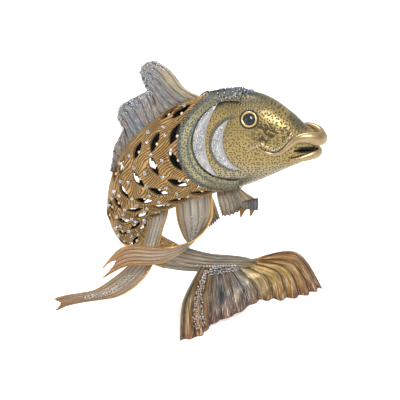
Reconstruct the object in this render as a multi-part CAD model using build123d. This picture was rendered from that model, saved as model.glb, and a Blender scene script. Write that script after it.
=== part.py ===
from build123d import *
import math
import os

os.makedirs("parts", exist_ok=True)

# A jewelled, enamelled cast-metal carp that stands on its tail fin and one belly ribbon.
# Millimetres and degrees. X runs to the right, Y away from the viewer and Z up. The figure
# stands on Z = 0, and the middle of its footprint lies on the Z axis.
# The fish bends in one upright plane of its own, with its lips to the right and its belly on
# the inside of the bend. That plane is turned a little, so that the head comes forward.

# Stance of the fish
fish_turn = 12.0
bend_x = -49.0
bend_y = 95.0
body_reach = 158.0
head_height = 154.0
shoulder_depth = 86.0
shoulder_thickness = 53.0

# Walls, clearances and overruns
skin_wall = 2.0
seat_gap = 0.25
overrun = 30.0
skin_sections = 33
stem_sections = 11

# Spine of the body from the tail joint to the snout: place along the reach, place along the
# head height, half depth and half thickness as shares of the shoulder's, and the heading of
# the back in degrees
SPINE_SHARES = (
    (0.212, 0.255, 0.295, 0.345, -120.0),
    (0.110, 0.295, 0.337, 0.390, -132.0),
    (0.043, 0.353, 0.370, 0.450, -155.0),
    (0.003, 0.417, 0.426, 0.528, -176.0),
    (-0.003, 0.503, 0.509, 0.604, -198.0),
    (0.019, 0.595, 0.600, 0.698, -216.0),
    (0.067, 0.686, 0.719, 0.792, -232.0),
    (0.145, 0.769, 0.840, 0.887, -245.0),
    (0.253, 0.851, 0.921, 0.962, -254.0),
    (0.389, 0.923, 0.990, 1.000, -262.5),
    (0.542, 0.969, 0.986, 0.981, -266.0),
    (0.644, 0.990, 0.935, 0.925, -268.5),
    (0.746, 1.000, 0.791, 0.849, -270.0),
    (0.849, 0.992, 0.565, 0.698, -272.0),
    (0.916, 0.978, 0.395, 0.540, -274.0),
    (0.958, 0.976, 0.300, 0.420, -276.0),
    (0.985, 0.978, 0.240, 0.350, -274.0),
)

# Tail stem: the same columns as the spine, from the tail joint to the fork
STEM_SHARES = (
    (0.212, 0.255, 0.295, 0.345, -120.0),
    (0.311, 0.241, 0.240, 0.300, -109.0),
    (0.419, 0.236, 0.190, 0.260, -102.0),
    (0.510, 0.244, 0.160, 0.230, -99.0),
    (0.605, 0.253, 0.118, 0.170, -98.0),
    (0.680, 0.258, 0.060, 0.090, -98.0),
)
spigot_share = 0.03
spigot_sections = 4
stem_row_start_share = 0.30
stem_row_end_share = 0.72
stem_stone_count = 14

# Head joint: a round edge on each flank, closed over the crown and under the jaw
neck_x_share = 89 / 158
neck_x = neck_x_share * body_reach
neck_z_share = 151 / 154
neck_z = neck_z_share * head_height
neck_radius = 42.0
band_wall = 1.2
band_half = 5.0

# Piercings between the scales of each flank: rings as shares of the spine, each with the
# angles of its piercings from the back
piercing_length = 17.0
piercing_width = 6.4
piercing_depth = 9.0
PIERCING_RING_SHARES = (
    (0.520, (28.0, 54.0, 84.0, 120.0, 152.0)),
    (0.455, (24.0, 50.0, 77.0, 114.0, 148.0)),
    (0.395, (14.0, 43.0, 78.0, 111.0, 146.0)),
    (0.330, (39.0, 69.0, 108.0, 144.0)),
    (0.280, (30.0, 63.0, 102.0, 140.0)),
    (0.235, (46.0, 81.0, 120.0)),
    (0.185, (36.0, 72.0, 110.0, 146.0)),
    (0.130, (54.0, 92.0, 130.0)),
)
ring_bow_share = 0.05
ring_middle = 75.0
ring_spread = 40.0
turn_step = 4.0
ahead_share = 0.04
pearl_radius = 1.45
pearl_width_share = 0.42

# Crystal clusters between the piercings
cup_radius = 2.1
cup_height = 0.6
crystal_radius = 0.85
crystal_height = 0.9
crystal_table_share = 0.55
cluster_count = 4
cluster_ring = 1.15

# Gill plates on each flank: centre, outer radius, inner centre and inner radius
collar_overhang = 1.5
collar_inner_x_share = 90.5 / 158
collar_inner_x = collar_inner_x_share * body_reach
collar_inner_z_share = 154.5 / 154
collar_inner_z = collar_inner_z_share * head_height
collar_inner_radius = 34.0
collar_thickness = 1.4
collar_front_share = 95 / 158
collar_front = collar_front_share * body_reach
gill_x_share = 91 / 158
gill_x = gill_x_share * body_reach
gill_z_share = 155 / 154
gill_z = gill_z_share * head_height
gill_radius = 33.0
gill_inner_x_share = 95.5 / 158
gill_inner_x = gill_inner_x_share * body_reach
gill_inner_radius = 30.0
gill_front_share = 93 / 158
gill_front = gill_front_share * body_reach
cheek_x_share = 96 / 158
cheek_x = cheek_x_share * body_reach
cheek_z_share = 154 / 154
cheek_z = cheek_z_share * head_height
cheek_radius = 22.0
cheek_inner_x_share = 102 / 158
cheek_inner_x = cheek_inner_x_share * body_reach
cheek_inner_radius = 19.0
cheek_front_share = 97 / 158
cheek_front = cheek_front_share * body_reach
plate_thickness = 1.2
pave_radius = 1.0
pave_height = 0.7
pave_pitch = 2.6
pave_margin = 1.3
crown_count = 8
crown_start_share = 0.598
crown_end_share = 0.652
lip_stone_count = 12
lip_row_start_share = 105 / 158
lip_row_start = lip_row_start_share * body_reach
lip_row_end_share = 138 / 158
lip_row_end = lip_row_end_share * body_reach
lip_row_low_share = 152.5 / 154
lip_row_low = lip_row_low_share * head_height
lip_row_high_share = 161 / 154
lip_row_high = lip_row_high_share * head_height
fin_stone_inset = 2.2
dorsal_stone_first = 4
dorsal_stone_end = 12
sheet_stone_radius = 0.8
sheet_stone_height = 0.7

# Eyes
eye_x_share = 104 / 158
eye_x = eye_x_share * body_reach
eye_z_share = 175.7 / 154
eye_z = eye_z_share * head_height
bezel_radius = 7.2
bezel_height = 2.6
bezel_sink = 1.0
eye_stone_radius = 5.0
eye_stone_height = 3.0

# Lips: each section's place along the reach and up the head height as shares, then its
# place out from the middle, half height and half thickness
UPPER_LIP_SHARES = (
    (103 / 158, 148.6 / 154),
    (115 / 158, 151 / 154),
    (124 / 158, 147 / 154),
    (133 / 158, 150.5 / 154),
    (142 / 158, 158.5 / 154),
    (151 / 158, 160 / 154),
    (158.5 / 158, 157.8 / 154),
    (161.5 / 158, 156.8 / 154),
)
UPPER_LIP_SIZES = (
    (24.0, 1.3, 1.3),
    (23.0, 1.5, 1.4),
    (20.6, 1.7, 1.5),
    (18.4, 2.2, 1.9),
    (15.4, 3.5, 2.8),
    (11.6, 4.8, 3.7),
    (6.4, 5.8, 4.2),
    (0.0, 6.2, 4.4),
)
LOWER_LIP_SHARES = (
    (137 / 158, 141 / 154),
    (145 / 158, 141.6 / 154),
    (152 / 158, 143 / 154),
    (156.6 / 158, 144 / 154),
    (158.2 / 158, 144.2 / 154),
)
LOWER_LIP_SIZES = (
    (15.4, 1.7, 1.6),
    (12.6, 2.7, 2.6),
    (8.8, 3.6, 3.1),
    (4.6, 4.1, 3.5),
    (0.0, 4.3, 3.7),
)
mouth_back_share = 141 / 158
mouth_back = mouth_back_share * body_reach
mouth_height = 1.6
mouth_z_share = 149.2 / 154
mouth_z = mouth_z_share * head_height

# Dorsal fin: outline from the front of its root, over the peak and back along the tips
fin_thickness = 2.6
DORSAL_SHARES = (
    (0.430, 1.205), (0.360, 1.222), (0.290, 1.275), (0.231, 1.329), (0.161, 1.381),
    (0.113, 1.388), (0.070, 1.372), (0.043, 1.324), (0.062, 1.262), (0.080, 1.217),
    (0.048, 1.191), (-0.027, 1.144), (-0.066, 1.111), (-0.078, 1.040), (-0.046, 0.991),
    (-0.097, 0.876), (-0.110, 0.800), (-0.120, 0.730),
)
dorsal_root_shares = ((-0.02, 0.62), (0.10, 0.90), (0.30, 1.05), (0.42, 1.10))
tenon_length = 12.0
tenon_rise = 3.0
tenon_shares = (0.40, 0.50)

# Fins that hang from the belly: sizes are reach across, sweep away from the viewer and drop
ribbon_thickness = 1.8
front_ribbon_sizes = (76.0, 42.0)
rear_ribbon_sizes = (90.0, 44.0)
front_ribbon_root_share = 0.512
rear_ribbon_root_share = 0.337
rear_peg_angle = 152.0

FRONT_RIBBON_SHARES = (
    ((0.19, -0.07, 0.10), (-0.21, 0.08, -0.06)),
    ((0.205, -0.22, -0.07), (-0.195, 0.08, -0.20)),
    ((0.185, -0.30, -0.15), (-0.165, 0.04, -0.29)),
    ((0.12, -0.43, -0.23), (-0.12, -0.04, -0.37)),
    ((0.0, -0.56, -0.30), (-0.06, -0.17, -0.43)),
    ((-0.13, -0.62, -0.335), (-0.13, -0.43, -0.435)),
    ((-0.29, -0.66, -0.355), (-0.29, -0.66, -0.48)),
    ((-0.465, -0.71, -0.34), (-0.465, -0.80, -0.493)),
    ((-0.66, -0.78, -0.31), (-0.675, -0.89, -0.478)),
    ((-0.82, -0.86, -0.335), (-0.83, -0.94, -0.51)),
    ((-1.0, -0.95, -0.495), (-1.0, -1.0, -0.58)),
)
REAR_RIBBON_SHARES = (
    ((0.064, -0.03, 0.09), (-0.131, -0.20, 0.09)),
    ((0.047, -0.11, -0.02), (-0.137, -0.20, -0.07)),
    ((0.017, -0.22, -0.11), (-0.149, -0.18, -0.17)),
    ((-0.029, -0.40, -0.28), (-0.177, -0.19, -0.32)),
    ((-0.076, -0.62, -0.42), (-0.232, -0.27, -0.44)),
    ((-0.140, -0.81, -0.52), (-0.305, -0.40, -0.51)),
    ((-0.244, -0.94, -0.63), (-0.428, -0.58, -0.60)),
    ((-0.400, -0.99, -0.735), (-0.610, -0.72, -0.72)),
    ((-0.578, -0.91, -0.795), (-0.755, -0.72, -0.765)),
    ((-0.744, -0.77, -0.86), (-0.888, -0.69, -0.80)),
    ((-0.900, -0.65, -0.935), (-0.975, -0.67, -0.83)),
    ((-1.006, -0.57, -1.015), (-1.0, -0.66, -0.845)),
)

# Pectoral fins: grids from the root to the scalloped edge
pectoral_sizes = (32.0, 20.0, 20.0)
pectoral_root_share = 0.596
LEFT_PECTORAL_SHARES = (
    ((-0.20, 0.10, 0.10), (-0.14, -0.20, -0.48), (-0.03, -0.64, -0.95)),
    ((-0.04, 0.05, 0.14), (0.10, -0.40, -0.38), (0.18, -0.84, -0.84)),
    ((0.11, -0.02, 0.20), (0.31, -0.52, -0.26), (0.41, -0.94, -0.62)),
    ((0.22, -0.12, 0.24), (0.44, -0.64, -0.18), (0.66, -0.98, -0.50)),
    ((0.28, -0.20, 0.30), (0.62, -0.50, 0.02), (0.92, -0.84, -0.20)),
)
near_pectoral_root_share = 0.552
near_peg_angle = 150.0
RIGHT_PECTORAL_SHARES = (
    ((-0.30, 0.06, 0.10), (-0.10, -0.22, -0.60), (0.05, -0.40, -1.35)),
    ((-0.10, -0.02, 0.14), (0.10, -0.34, -0.60), (0.26, -0.52, -1.30)),
    ((0.08, -0.08, 0.20), (0.30, -0.38, -0.48), (0.46, -0.50, -0.95)),
    ((0.20, -0.12, 0.26), (0.40, -0.36, -0.36), (0.58, -0.42, -0.72)),
)
pectoral_thickness = 1.6
peg_radius = 2.2
peg_reach = 5.0
ribbon_stone_count = 8
ribbon_row_shares = (0.42, 0.58)
front_stone_run_shares = (0.14, 0.42)
rear_stone_run_shares = (0.52, 0.74)
tail_stone_count = 10
tail_stone_run_shares = (0.35, 0.93)
tail_row_shares = (0.10, 0.17)

# Tail fin: rays from the stem to the edge, left lobe first, as shares of the span across,
# the sweep away from the viewer and the height of the stem
tail_sizes = (121.0, 78.4)
tail_thickness = 2.4
tail_root_share = 0.506
tail_root_height_share = 0.244
TAIL_SHARES = (
    ((-0.150, 0.05, -0.03), (-0.290, -0.50, -0.48), (-0.312, -0.99, -1.012)),
    ((-0.110, 0.04, -0.02), (-0.195, -0.46, -0.53), (-0.170, -0.87, -1.012)),
    ((-0.070, 0.03, -0.01), (-0.085, -0.36, -0.50), (-0.085, -0.64, -0.930)),
    ((-0.020, 0.01, 0.01), (0.055, -0.28, -0.43), (0.082, -0.43, -0.880)),
    ((0.030, -0.01, 0.02), (0.185, -0.15, -0.34), (0.240, -0.11, -0.850)),
    ((0.080, -0.02, 0.04), (0.355, -0.02, -0.23), (0.417, -0.03, -0.890)),
    ((0.120, -0.04, 0.06), (0.458, 0.12, -0.14), (0.588, 0.17, -0.950)),
    ((0.160, -0.05, 0.08), (0.500, 0.22, 0.06), (0.692, 0.38, -0.990)),
)


def spine_row(table, share):
    """One row of a spine table, read smoothly at a share of its length."""
    last = len(table) - 1
    place = min(max(share, 0.0), 1.0) * last
    low = min(int(place), last - 1)
    part = place - low
    rows = [table[min(max(low + step, 0), last)] for step in (-1, 0, 1, 2)]
    values = []
    for before, start, end, after in zip(*rows):
        bend = 2 * before - 5 * start + 4 * end - after
        twist = 3 * (start - end) + after - before
        values.append(start + part * (end - before + part * (bend + part * twist)) / 2)
    return values


def spine_plane(row):
    """The section plane of a spine row: its x axis runs to the back, its y axis across."""
    heading = math.radians(row[4])
    back = Vector(math.cos(heading), 0, math.sin(heading))
    ahead = back.cross(Vector(0, 1, 0))
    return Plane((row[0] * body_reach, 0, row[1] * head_height), x_dir=back, z_dir=ahead)


def half_section(row, extra):
    """The near half of one oval section, larger all round by the extra."""
    deep = row[2] * shoulder_depth / 2 + extra
    thick = row[3] * shoulder_thickness / 2 + extra
    arc = EllipticalCenterArc((0, 0), deep, thick, start_angle=180, arc_size=180)
    return Wire([(spine_plane(row) * arc).edge()])


def closed_half(wires):
    """A solid between a smooth side through half sections and the fish's own plane."""
    side = Shell.make_loft(wires).faces()[0]
    edges = side.edges().sort_by(lambda edge: abs(edge.center().Y))
    seams = edges[:2]
    ends = edges[2:]
    lines = [Edge.make_line(edge.position_at(0), edge.position_at(1)) for edge in ends]
    caps = [Face(Wire([edge, line])) for edge, line in zip(ends, lines)]
    return Solid(Shell([side, Face(Wire(seams + lines)), *caps]))


def half_form(table, extra, count):
    """The near half of a form that a spine table gives."""
    rows = [spine_row(table, step / (count - 1)) for step in range(count)]
    return closed_half([half_section(row, extra) for row in rows])


def half_skin(extra):
    """The near half of the body and head, larger all round by the extra."""
    return half_form(SPINE_SHARES, extra, skin_sections)


def skin_axis(share, angle):
    """A spine point and the way from it to the skin, at an angle from the back."""
    row = spine_row(SPINE_SHARES, share)
    plane = spine_plane(row)
    turn = math.radians(angle)
    deep = row[2] * shoulder_depth / 2
    thick = row[3] * shoulder_thickness / 2
    out = plane.x_dir * (deep * math.cos(turn)) - plane.y_dir * (thick * math.sin(turn))
    return plane.origin, out


def seat_on(face, axis, along):
    """A plane that lies on a face where an axis first leaves it, with x along a direction."""
    hits = face.find_intersection_points(axis)
    hits = [hit for hit in hits if (hit[0] - axis.position).dot(axis.direction) > 0]
    point, normal = max(hits, key=lambda hit: (hit[0] - axis.position).dot(axis.direction))
    if normal.dot(axis.direction) < 0:
        normal = normal * -1
    return Plane(point, x_dir=along - normal * along.dot(normal), z_dir=normal)


def near_hit(face, x, z):
    """A plane on the near flank of a face at a place in the side view."""
    start = Vector(x, 0, z)
    return seat_on(face, Axis(start, (0, -1, 0)), Vector(1, 0, 0))


def solids_of(shape):
    """The separate solids of a shape, largest first."""
    return sorted(shape.solids(), key=lambda solid: solid.volume, reverse=True)


def to_figure(shape):
    """Moves a shape from the fish's own plane to its place in the figure."""
    return Location((bend_x, bend_y, 0), (0, 0, -fish_turn)) * shape


def figure_point(point):
    """Moves a point from the fish's own plane to its place in the figure."""
    return to_figure(Vertex(point.X, point.Y, point.Z)).center()


def across(shape):
    """The same shape on the other flank."""
    return mirror(shape, about=Plane.XZ)


def side_prism(sketch):
    """A side-view sketch carried right through the fish."""
    return extrude(Plane.XZ * sketch, amount=shoulder_thickness, both=True)


def side_disc(x, z, radius):
    """A disc in the side view."""
    return Pos(x, z) * Circle(radius)


def ahead_of(x):
    """All of the side view that lies ahead of a place."""
    length = body_reach * 2
    return Pos(x + length / 2, head_height) * Rectangle(length, length)


def head_side(extra):
    """The head's share of the side view, larger at the joint by the extra."""
    return side_prism(side_disc(neck_x, neck_z, neck_radius + extra) + ahead_of(neck_x - extra))


def stone(radius, height, table_share):
    """A cut stone: a round base that narrows to a flat table."""
    return Pos(0, 0, height / 2) * Cone(radius, radius * table_share, height)


def row_of(start, end, count):
    """Evenly spaced values from a start to an end."""
    return [start + (end - start) * step / (count - 1) for step in range(count)]


def sheet(rows):
    """A smooth thin surface through rows of points."""
    wires = [Wire([Spline(*row) if len(row) > 2 else Line(*row)]) for row in rows]
    return Shell.make_loft(wires).faces()[0]


def blade(rows, thickness):
    """A thin smooth blade of even thickness about rows of points."""
    last = len(rows) - 1
    uppers = []
    lowers = []
    for step, row in enumerate(rows):
        end = len(row) - 1
        lifts = []
        for place in range(len(row)):
            along = rows[min(step + 1, last)][place] - rows[max(step - 1, 0)][place]
            side = row[min(place + 1, end)] - row[max(place - 1, 0)]
            lifts.append(side.cross(along).normalized() * (thickness / 2))
        uppers.append([point + lift for point, lift in zip(row, lifts)])
        lowers.append([point - lift for point, lift in zip(row, lifts)])
    top = sheet(uppers)
    under = sheet(lowers)
    sides = []
    for edge in top.edges():
        facing = min(under.edges(), key=lambda other: (other.center() - edge.center()).length)
        sides.append(Face.make_surface_from_curves(edge, facing))
    return Solid(Shell([top, under, *sides]))


def spread(anchor, sizes, table):
    """The points of a table of shares, set out from an anchor at given sizes."""
    return [
        [anchor + Vector(*[share * size for share, size in zip(point, sizes)]) for point in row]
        for row in table
    ]


def above_floor(shape):
    """What a shape has above the floor."""
    size = body_reach * 4
    return shape - Pos(0, 0, -size / 2) * Box(size, size, size)


def one_solid(shape):
    """The largest solid of a shape."""
    return solids_of(shape)[0]


def stones_on(face, places, lift, side):
    """Cut stones on one side of a sheet, at places given in the sheet's own directions."""
    cut = stone(sheet_stone_radius, sheet_stone_height, crystal_table_share)
    stones = []
    for across_share, along_share in places:
        normal = face.normal_at(across_share, along_share) * side
        point = face.position_at(across_share, along_share) + normal * lift
        stones.append(Plane(point, z_dir=normal) * cut)
    return stones


def near_side(face, place):
    """The side of a sheet that looks towards the viewer."""
    return -1 if face.normal_at(*place).Y > 0 else 1


def skin_point(share, angle):
    """A point of the near flank by its share of the spine and its angle from the back."""
    axis = skin_axis(share, angle)
    return axis[0] + axis[1]


def ring_share(base, angle):
    """A ring's share of the spine at an angle: it runs forward over the back and the belly."""
    return base + ring_bow_share * ((angle - ring_middle) / ring_spread) ** 2


def flank_seat(face, base, angle):
    """A plane on the skin at a ring's place, its x along the ring and its y to the head."""
    share = ring_share(base, angle)
    start, out = skin_axis(share, angle)
    before = skin_point(ring_share(base, angle - turn_step), angle - turn_step)
    after = skin_point(ring_share(base, angle + turn_step), angle + turn_step)
    seat = seat_on(face, Axis(start, out), after - before)
    ahead = skin_point(share + ahead_share, angle) - skin_point(share, angle)
    if seat.y_dir.dot(ahead) < 0:
        seat = Plane(seat.origin, x_dir=seat.x_dir * -1, z_dir=seat.z_dir)
    return seat


def girth_share(base, angle):
    """How large the fish is at a place, as a share of the shoulder."""
    row = spine_row(SPINE_SHARES, ring_share(base, angle))
    return (row[2] + row[3]) / 2


def on_body(seat, reach):
    """Whether a place lies on the body, at least a reach behind the head joint."""
    out = math.hypot(seat.origin.X - neck_x, seat.origin.Z - neck_z)
    return seat.origin.X < neck_x - reach and out > neck_radius + reach


def lens(length, width):
    """A lens outline between two arcs."""
    ends = ((-length / 2, 0), (length / 2, 0))
    return make_face([
        ThreePointArc(ends[0], (0, width / 2), ends[1]),
        ThreePointArc(ends[1], (0, -width / 2), ends[0]),
    ])


def piercings(face):
    """Cutters for the near flank's piercings, and the pearls that sit in their front edges."""
    cutters = []
    pearls = []
    for base, angles in PIERCING_RING_SHARES:
        for angle in angles:
            seat = flank_seat(face, base, angle)
            size = girth_share(base, angle)
            length = piercing_length * size
            width = piercing_width * size
            if not on_body(seat, width / 2 + collar_overhang):
                continue
            radius = min(pearl_radius, width * pearl_width_share)
            pearl_place = Pos(0, width / 2, 0)
            opening = lens(length, width) + Pos(0, width / 2) * Circle(radius + seat_gap)
            cutters.append(extrude(seat * opening, amount=piercing_depth / 2, both=True))
            pearls.append(seat * pearl_place * Sphere(radius))
    return cutters, pearls


def clusters(face):
    """Cups with crystals on the near flank: between piercings and between rings."""
    places = []
    for ring, (base, angles) in enumerate(PIERCING_RING_SHARES):
        places += [(base, (low + high) / 2) for low, high in zip(angles, angles[1:])]
        if ring:
            middle = (base + PIERCING_RING_SHARES[ring - 1][0]) / 2
            places += [(middle, angle) for angle in angles]
    cup = Pos(0, 0, cup_height / 2) * Cylinder(cup_radius, cup_height)
    cut = stone(crystal_radius, crystal_height, crystal_table_share)
    turns = [Rot(0, 0, turn * 360 / cluster_count) for turn in range(cluster_count)]
    cuts = [turn * Pos(cluster_ring, 0, cup_height) * cut for turn in turns]
    cluster = cuts[0].fuse(*cuts[1:])
    cups = []
    stones = []
    for base, angle in places:
        seat = flank_seat(face, base, angle)
        if not on_body(seat, cup_radius + collar_overhang):
            continue
        base_place = seat * Pos(0, 0, seat_gap)
        cups.append(base_place * cup)
        stones.append(base_place * cluster)
    return cups, stones


def half_layer(gap, thickness):
    """A layer over the near half of the skin."""
    return half_skin(gap + thickness) - half_skin(gap)


def side_face(half):
    """The outer side of a near half."""
    return half.faces().sort_by(SortBy.AREA)[-1]


def crescent(outer_disc, inner_disc, front):
    """A crescent in the side view, open to the head."""
    return side_prism(outer_disc - inner_disc - ahead_of(front))


def pave(face, centre, radius, inner_centre, inner_radius, front):
    """Small stones in rows that follow the rear edge of a crescent plate."""
    stones = []
    cut = stone(pave_radius, pave_height, crystal_table_share)
    inset = radius - pave_margin
    while inset > inner_radius:
        count = int(math.pi * inset / pave_pitch)
        for step in range(count + 1):
            turn = math.pi / 2 + math.pi * step / count
            x = centre[0] + inset * math.cos(turn)
            z = centre[1] + inset * math.sin(turn)
            clear = math.hypot(x - inner_centre[0], z - inner_centre[1])
            if clear > inner_radius + pave_margin and x < front - pave_margin:
                seat = near_hit(face, x, z)
                stones.append(seat * Pos(0, 0, seat_gap) * cut)
        inset -= pave_pitch
    return stones


def lip(shares, sizes, extra):
    """A lip or ridge that runs round the snout, larger all round by the extra."""
    centres = [
        Vector(share[0] * body_reach, -size[0], share[1] * head_height)
        for share, size in zip(shares, sizes)
    ]
    sections = []
    last = len(sizes) - 1
    for step, size in enumerate(sizes):
        before = centres[max(step - 1, 0)]
        after = centres[min(step + 1, last)]
        along = after - before if step < last else Vector(0, 1, 0)
        plane = Plane(centres[step], x_dir=Vector(0, 0, 1).cross(along), z_dir=along)
        sections.append(plane * Ellipse(size[2] + extra, size[1] + extra))
    near = loft(sections)
    return near + across(near)


def belly_place(share, angle):
    """A plane on the belly: its z axis points out of the skin."""
    start, out = skin_axis(share, angle)
    return Plane(start + out, x_dir=Vector(0, 1, 0), z_dir=out)


def peg(plane):
    """A peg from the inner side of the skin out to a fin, at a place on the belly."""
    middle = Pos(0, 0, (peg_reach - skin_wall) / 2)
    return plane * middle * Cylinder(peg_radius, peg_reach + skin_wall)


def peg_hole(plane):
    """The hole for a peg."""
    return plane * Cylinder(peg_radius + seat_gap, 2 * peg_reach)


pieces = {}

# Body: two openwork halves, and the band inside them that carries the head
skin_outer = half_skin(0)
skin_face = side_face(skin_outer)
skin_inner = half_skin(-skin_wall)
skin_seat = half_skin(seat_gap)
head_region = head_side(0)
neck_cut = head_side(seat_gap)
whole_skin_seat = skin_seat + across(skin_seat)

cutters, pearls = piercings(skin_face)
cups, cluster_stones = clusters(skin_face)
near_wall = skin_outer - skin_inner
near_shell = one_solid(near_wall - neck_cut)

tenons = []
slots = []
for share in tenon_shares:
    row = spine_row(SPINE_SHARES, share)
    plane = spine_plane(row)
    ridge = plane.origin + plane.x_dir * (row[2] * shoulder_depth / 2)
    place = Plane(ridge, x_dir=plane.z_dir, z_dir=plane.x_dir)
    tall = tenon_rise * 2
    tenons.append(place * Box(tenon_length, fin_thickness, tall))
    slots.append(place * Box(tenon_length + 2 * seat_gap, fin_thickness + 2 * seat_gap, 2 * tall))

front_peg_place = belly_place(front_ribbon_root_share, 180)
rear_peg_place = belly_place(rear_ribbon_root_share, rear_peg_angle)
left_peg_place = belly_place(pectoral_root_share, 180)
right_peg_place = belly_place(near_pectoral_root_share, near_peg_angle)
peg_places = (front_peg_place, rear_peg_place, left_peg_place, right_peg_place)
peg_holes = [peg_hole(place) for place in peg_places]

near_shell = one_solid(near_shell - cutters)
fixing_cuts = slots + peg_holes
pieces["body_shell_right"] = [one_solid(near_shell - fixing_cuts)]
pieces["body_shell_left"] = [one_solid(across(near_shell) - fixing_cuts)]
band = half_skin(-skin_wall - seat_gap) - half_skin(-skin_wall - seat_gap - band_wall)
band = one_solid(band & head_side(band_half) - head_side(-band_half))
pieces["neck_band"] = [band + across(band)]
pieces["pearls_right"] = pearls
pieces["pearls_left"] = [across(pearl) for pearl in pearls]
pieces["crystal_cups_right"] = cups
pieces["crystal_cups_left"] = [across(cup) for cup in cups]
pieces["scale_crystals_right"] = cluster_stones
pieces["scale_crystals_left"] = [across(cut) for cut in cluster_stones]

# Head with its eyes and lips
eye_seat = near_hit(skin_face, eye_x, eye_z)
eye_recess = eye_seat * Pos(0, 0, overrun / 2 - bezel_sink) * Cylinder(
    bezel_radius + seat_gap, overrun
)
floor_place = eye_seat * Pos(0, 0, -bezel_sink)
bezel_body = Pos(0, 0, bezel_height / 2) * Cylinder(bezel_radius, bezel_height)
bezel_bore = Cylinder(eye_stone_radius + seat_gap, bezel_height * 3)
bezel = bezel_body - bezel_bore
bezel = fillet(bezel.edges().group_by(Axis.Z)[-1].sort_by(SortBy.LENGTH)[-1], bezel_height / 3)
dome_radius = (eye_stone_radius ** 2 + eye_stone_height ** 2) / (2 * eye_stone_height)
dome_drop = Pos(0, 0, eye_stone_height - dome_radius)
eye_stone = dome_drop * Sphere(dome_radius) & Pos(0, 0, dome_radius) * Box(
    dome_radius * 4, dome_radius * 4, dome_radius * 2
)
upper_lip_cut = lip(UPPER_LIP_SHARES, UPPER_LIP_SIZES, seat_gap)
lower_lip_cut = lip(LOWER_LIP_SHARES, LOWER_LIP_SIZES, seat_gap)
mouth = Pos(mouth_back + body_reach / 2, 0, mouth_z) * Box(
    body_reach, shoulder_thickness, mouth_height
)
head_half = near_wall & head_region
head_half = one_solid(head_half - [eye_recess, upper_lip_cut, lower_lip_cut, mouth])
pieces["head_shell"] = [head_half + across(head_half)]
pieces["upper_lip"] = [lip(UPPER_LIP_SHARES, UPPER_LIP_SIZES, 0)]
pieces["lower_lip"] = [lip(LOWER_LIP_SHARES, LOWER_LIP_SIZES, 0)]
for side, flip in (("right", lambda shape: shape), ("left", across)):
    pieces[f"eye_bezel_{side}"] = [flip(floor_place * bezel)]
    pieces[f"eye_stone_{side}"] = [flip(floor_place * eye_stone)]

# Gill plates and their paving
collar_layer = half_layer(seat_gap, collar_thickness)
plate_half = half_skin(seat_gap + plate_thickness)
plate_layer = plate_half - skin_seat
plate_face = side_face(plate_half)
collar = one_solid(collar_layer & crescent(
    side_disc(neck_x, neck_z, neck_radius + collar_overhang),
    side_disc(collar_inner_x, collar_inner_z, collar_inner_radius),
    collar_front,
))
gill = one_solid(plate_layer & crescent(
    side_disc(gill_x, gill_z, gill_radius),
    side_disc(gill_inner_x, gill_z, gill_inner_radius),
    gill_front,
))
cheek = one_solid(plate_layer & crescent(
    side_disc(cheek_x, cheek_z, cheek_radius),
    side_disc(cheek_inner_x, cheek_z, cheek_inner_radius),
    cheek_front,
))
gill_stones = pave(
    plate_face, (gill_x, gill_z), gill_radius, (gill_inner_x, gill_z), gill_inner_radius, gill_front
)
cheek_stones = pave(
    plate_face, (cheek_x, cheek_z), cheek_radius, (cheek_inner_x, cheek_z),
    cheek_inner_radius, cheek_front,
)
pave_cut = stone(pave_radius, pave_height, crystal_table_share)
lip_stones = []
for x in row_of(lip_row_start, lip_row_end, lip_stone_count):
    part = (x - lip_row_start) / (lip_row_end - lip_row_start)
    z = lip_row_low + (lip_row_high - lip_row_low) * part
    lip_stones.append(near_hit(skin_face, x, z) * Pos(0, 0, seat_gap) * pave_cut)
for side, flip in (("right", lambda shape: shape), ("left", across)):
    pieces[f"gill_collar_{side}"] = [flip(collar)]
    pieces[f"gill_cover_{side}"] = [flip(gill)]
    pieces[f"cheek_plate_{side}"] = [flip(cheek)]
    pieces[f"gill_crystals_{side}"] = [flip(cut) for cut in gill_stones]
    pieces[f"cheek_crystals_{side}"] = [flip(cut) for cut in cheek_stones]
    pieces[f"lip_crystals_{side}"] = [flip(cut) for cut in lip_stones]
crown_stones = []
for share in row_of(crown_start_share, crown_end_share, crown_count):
    row = spine_row(SPINE_SHARES, share)
    plane = spine_plane(row)
    top = plane.origin + plane.x_dir * (row[2] * shoulder_depth / 2 + collar_thickness)
    place = Plane(top, x_dir=Vector(0, 1, 0), z_dir=plane.x_dir)
    crown_stones.append(place * Pos(0, 0, 2 * seat_gap) * pave_cut)
pieces["crown_crystals"] = crown_stones

# Dorsal fin, with tenons through the seam of the body halves
tips = [(share[0] * body_reach, share[1] * head_height) for share in DORSAL_SHARES]
roots = [(share[0] * body_reach, share[1] * head_height) for share in dorsal_root_shares]
fin_outline = make_face(Spline(*tips) + Polyline(tips[-1], *roots, tips[0]))
fin = extrude(Plane.XZ * fin_outline, amount=fin_thickness / 2, both=True)
collar_room = side_disc(neck_x, neck_z, neck_radius + collar_overhang + seat_gap)
fin = one_solid(fin - whole_skin_seat - side_prism(collar_room))
pieces["dorsal_fin"] = [fin + tenons]
dorsal_stones = []
for share in DORSAL_SHARES[dorsal_stone_first:dorsal_stone_end]:
    for inset in (fin_stone_inset, 2 * fin_stone_inset):
        x = share[0] * body_reach + inset
        z = share[1] * head_height - inset
        for way in (-1, 1):
            place = Plane((x, way * (fin_thickness / 2 + seat_gap), z), z_dir=(0, way, 0))
            dorsal_stones.append(place * pave_cut)
pieces["dorsal_crystals"] = dorsal_stones

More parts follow.
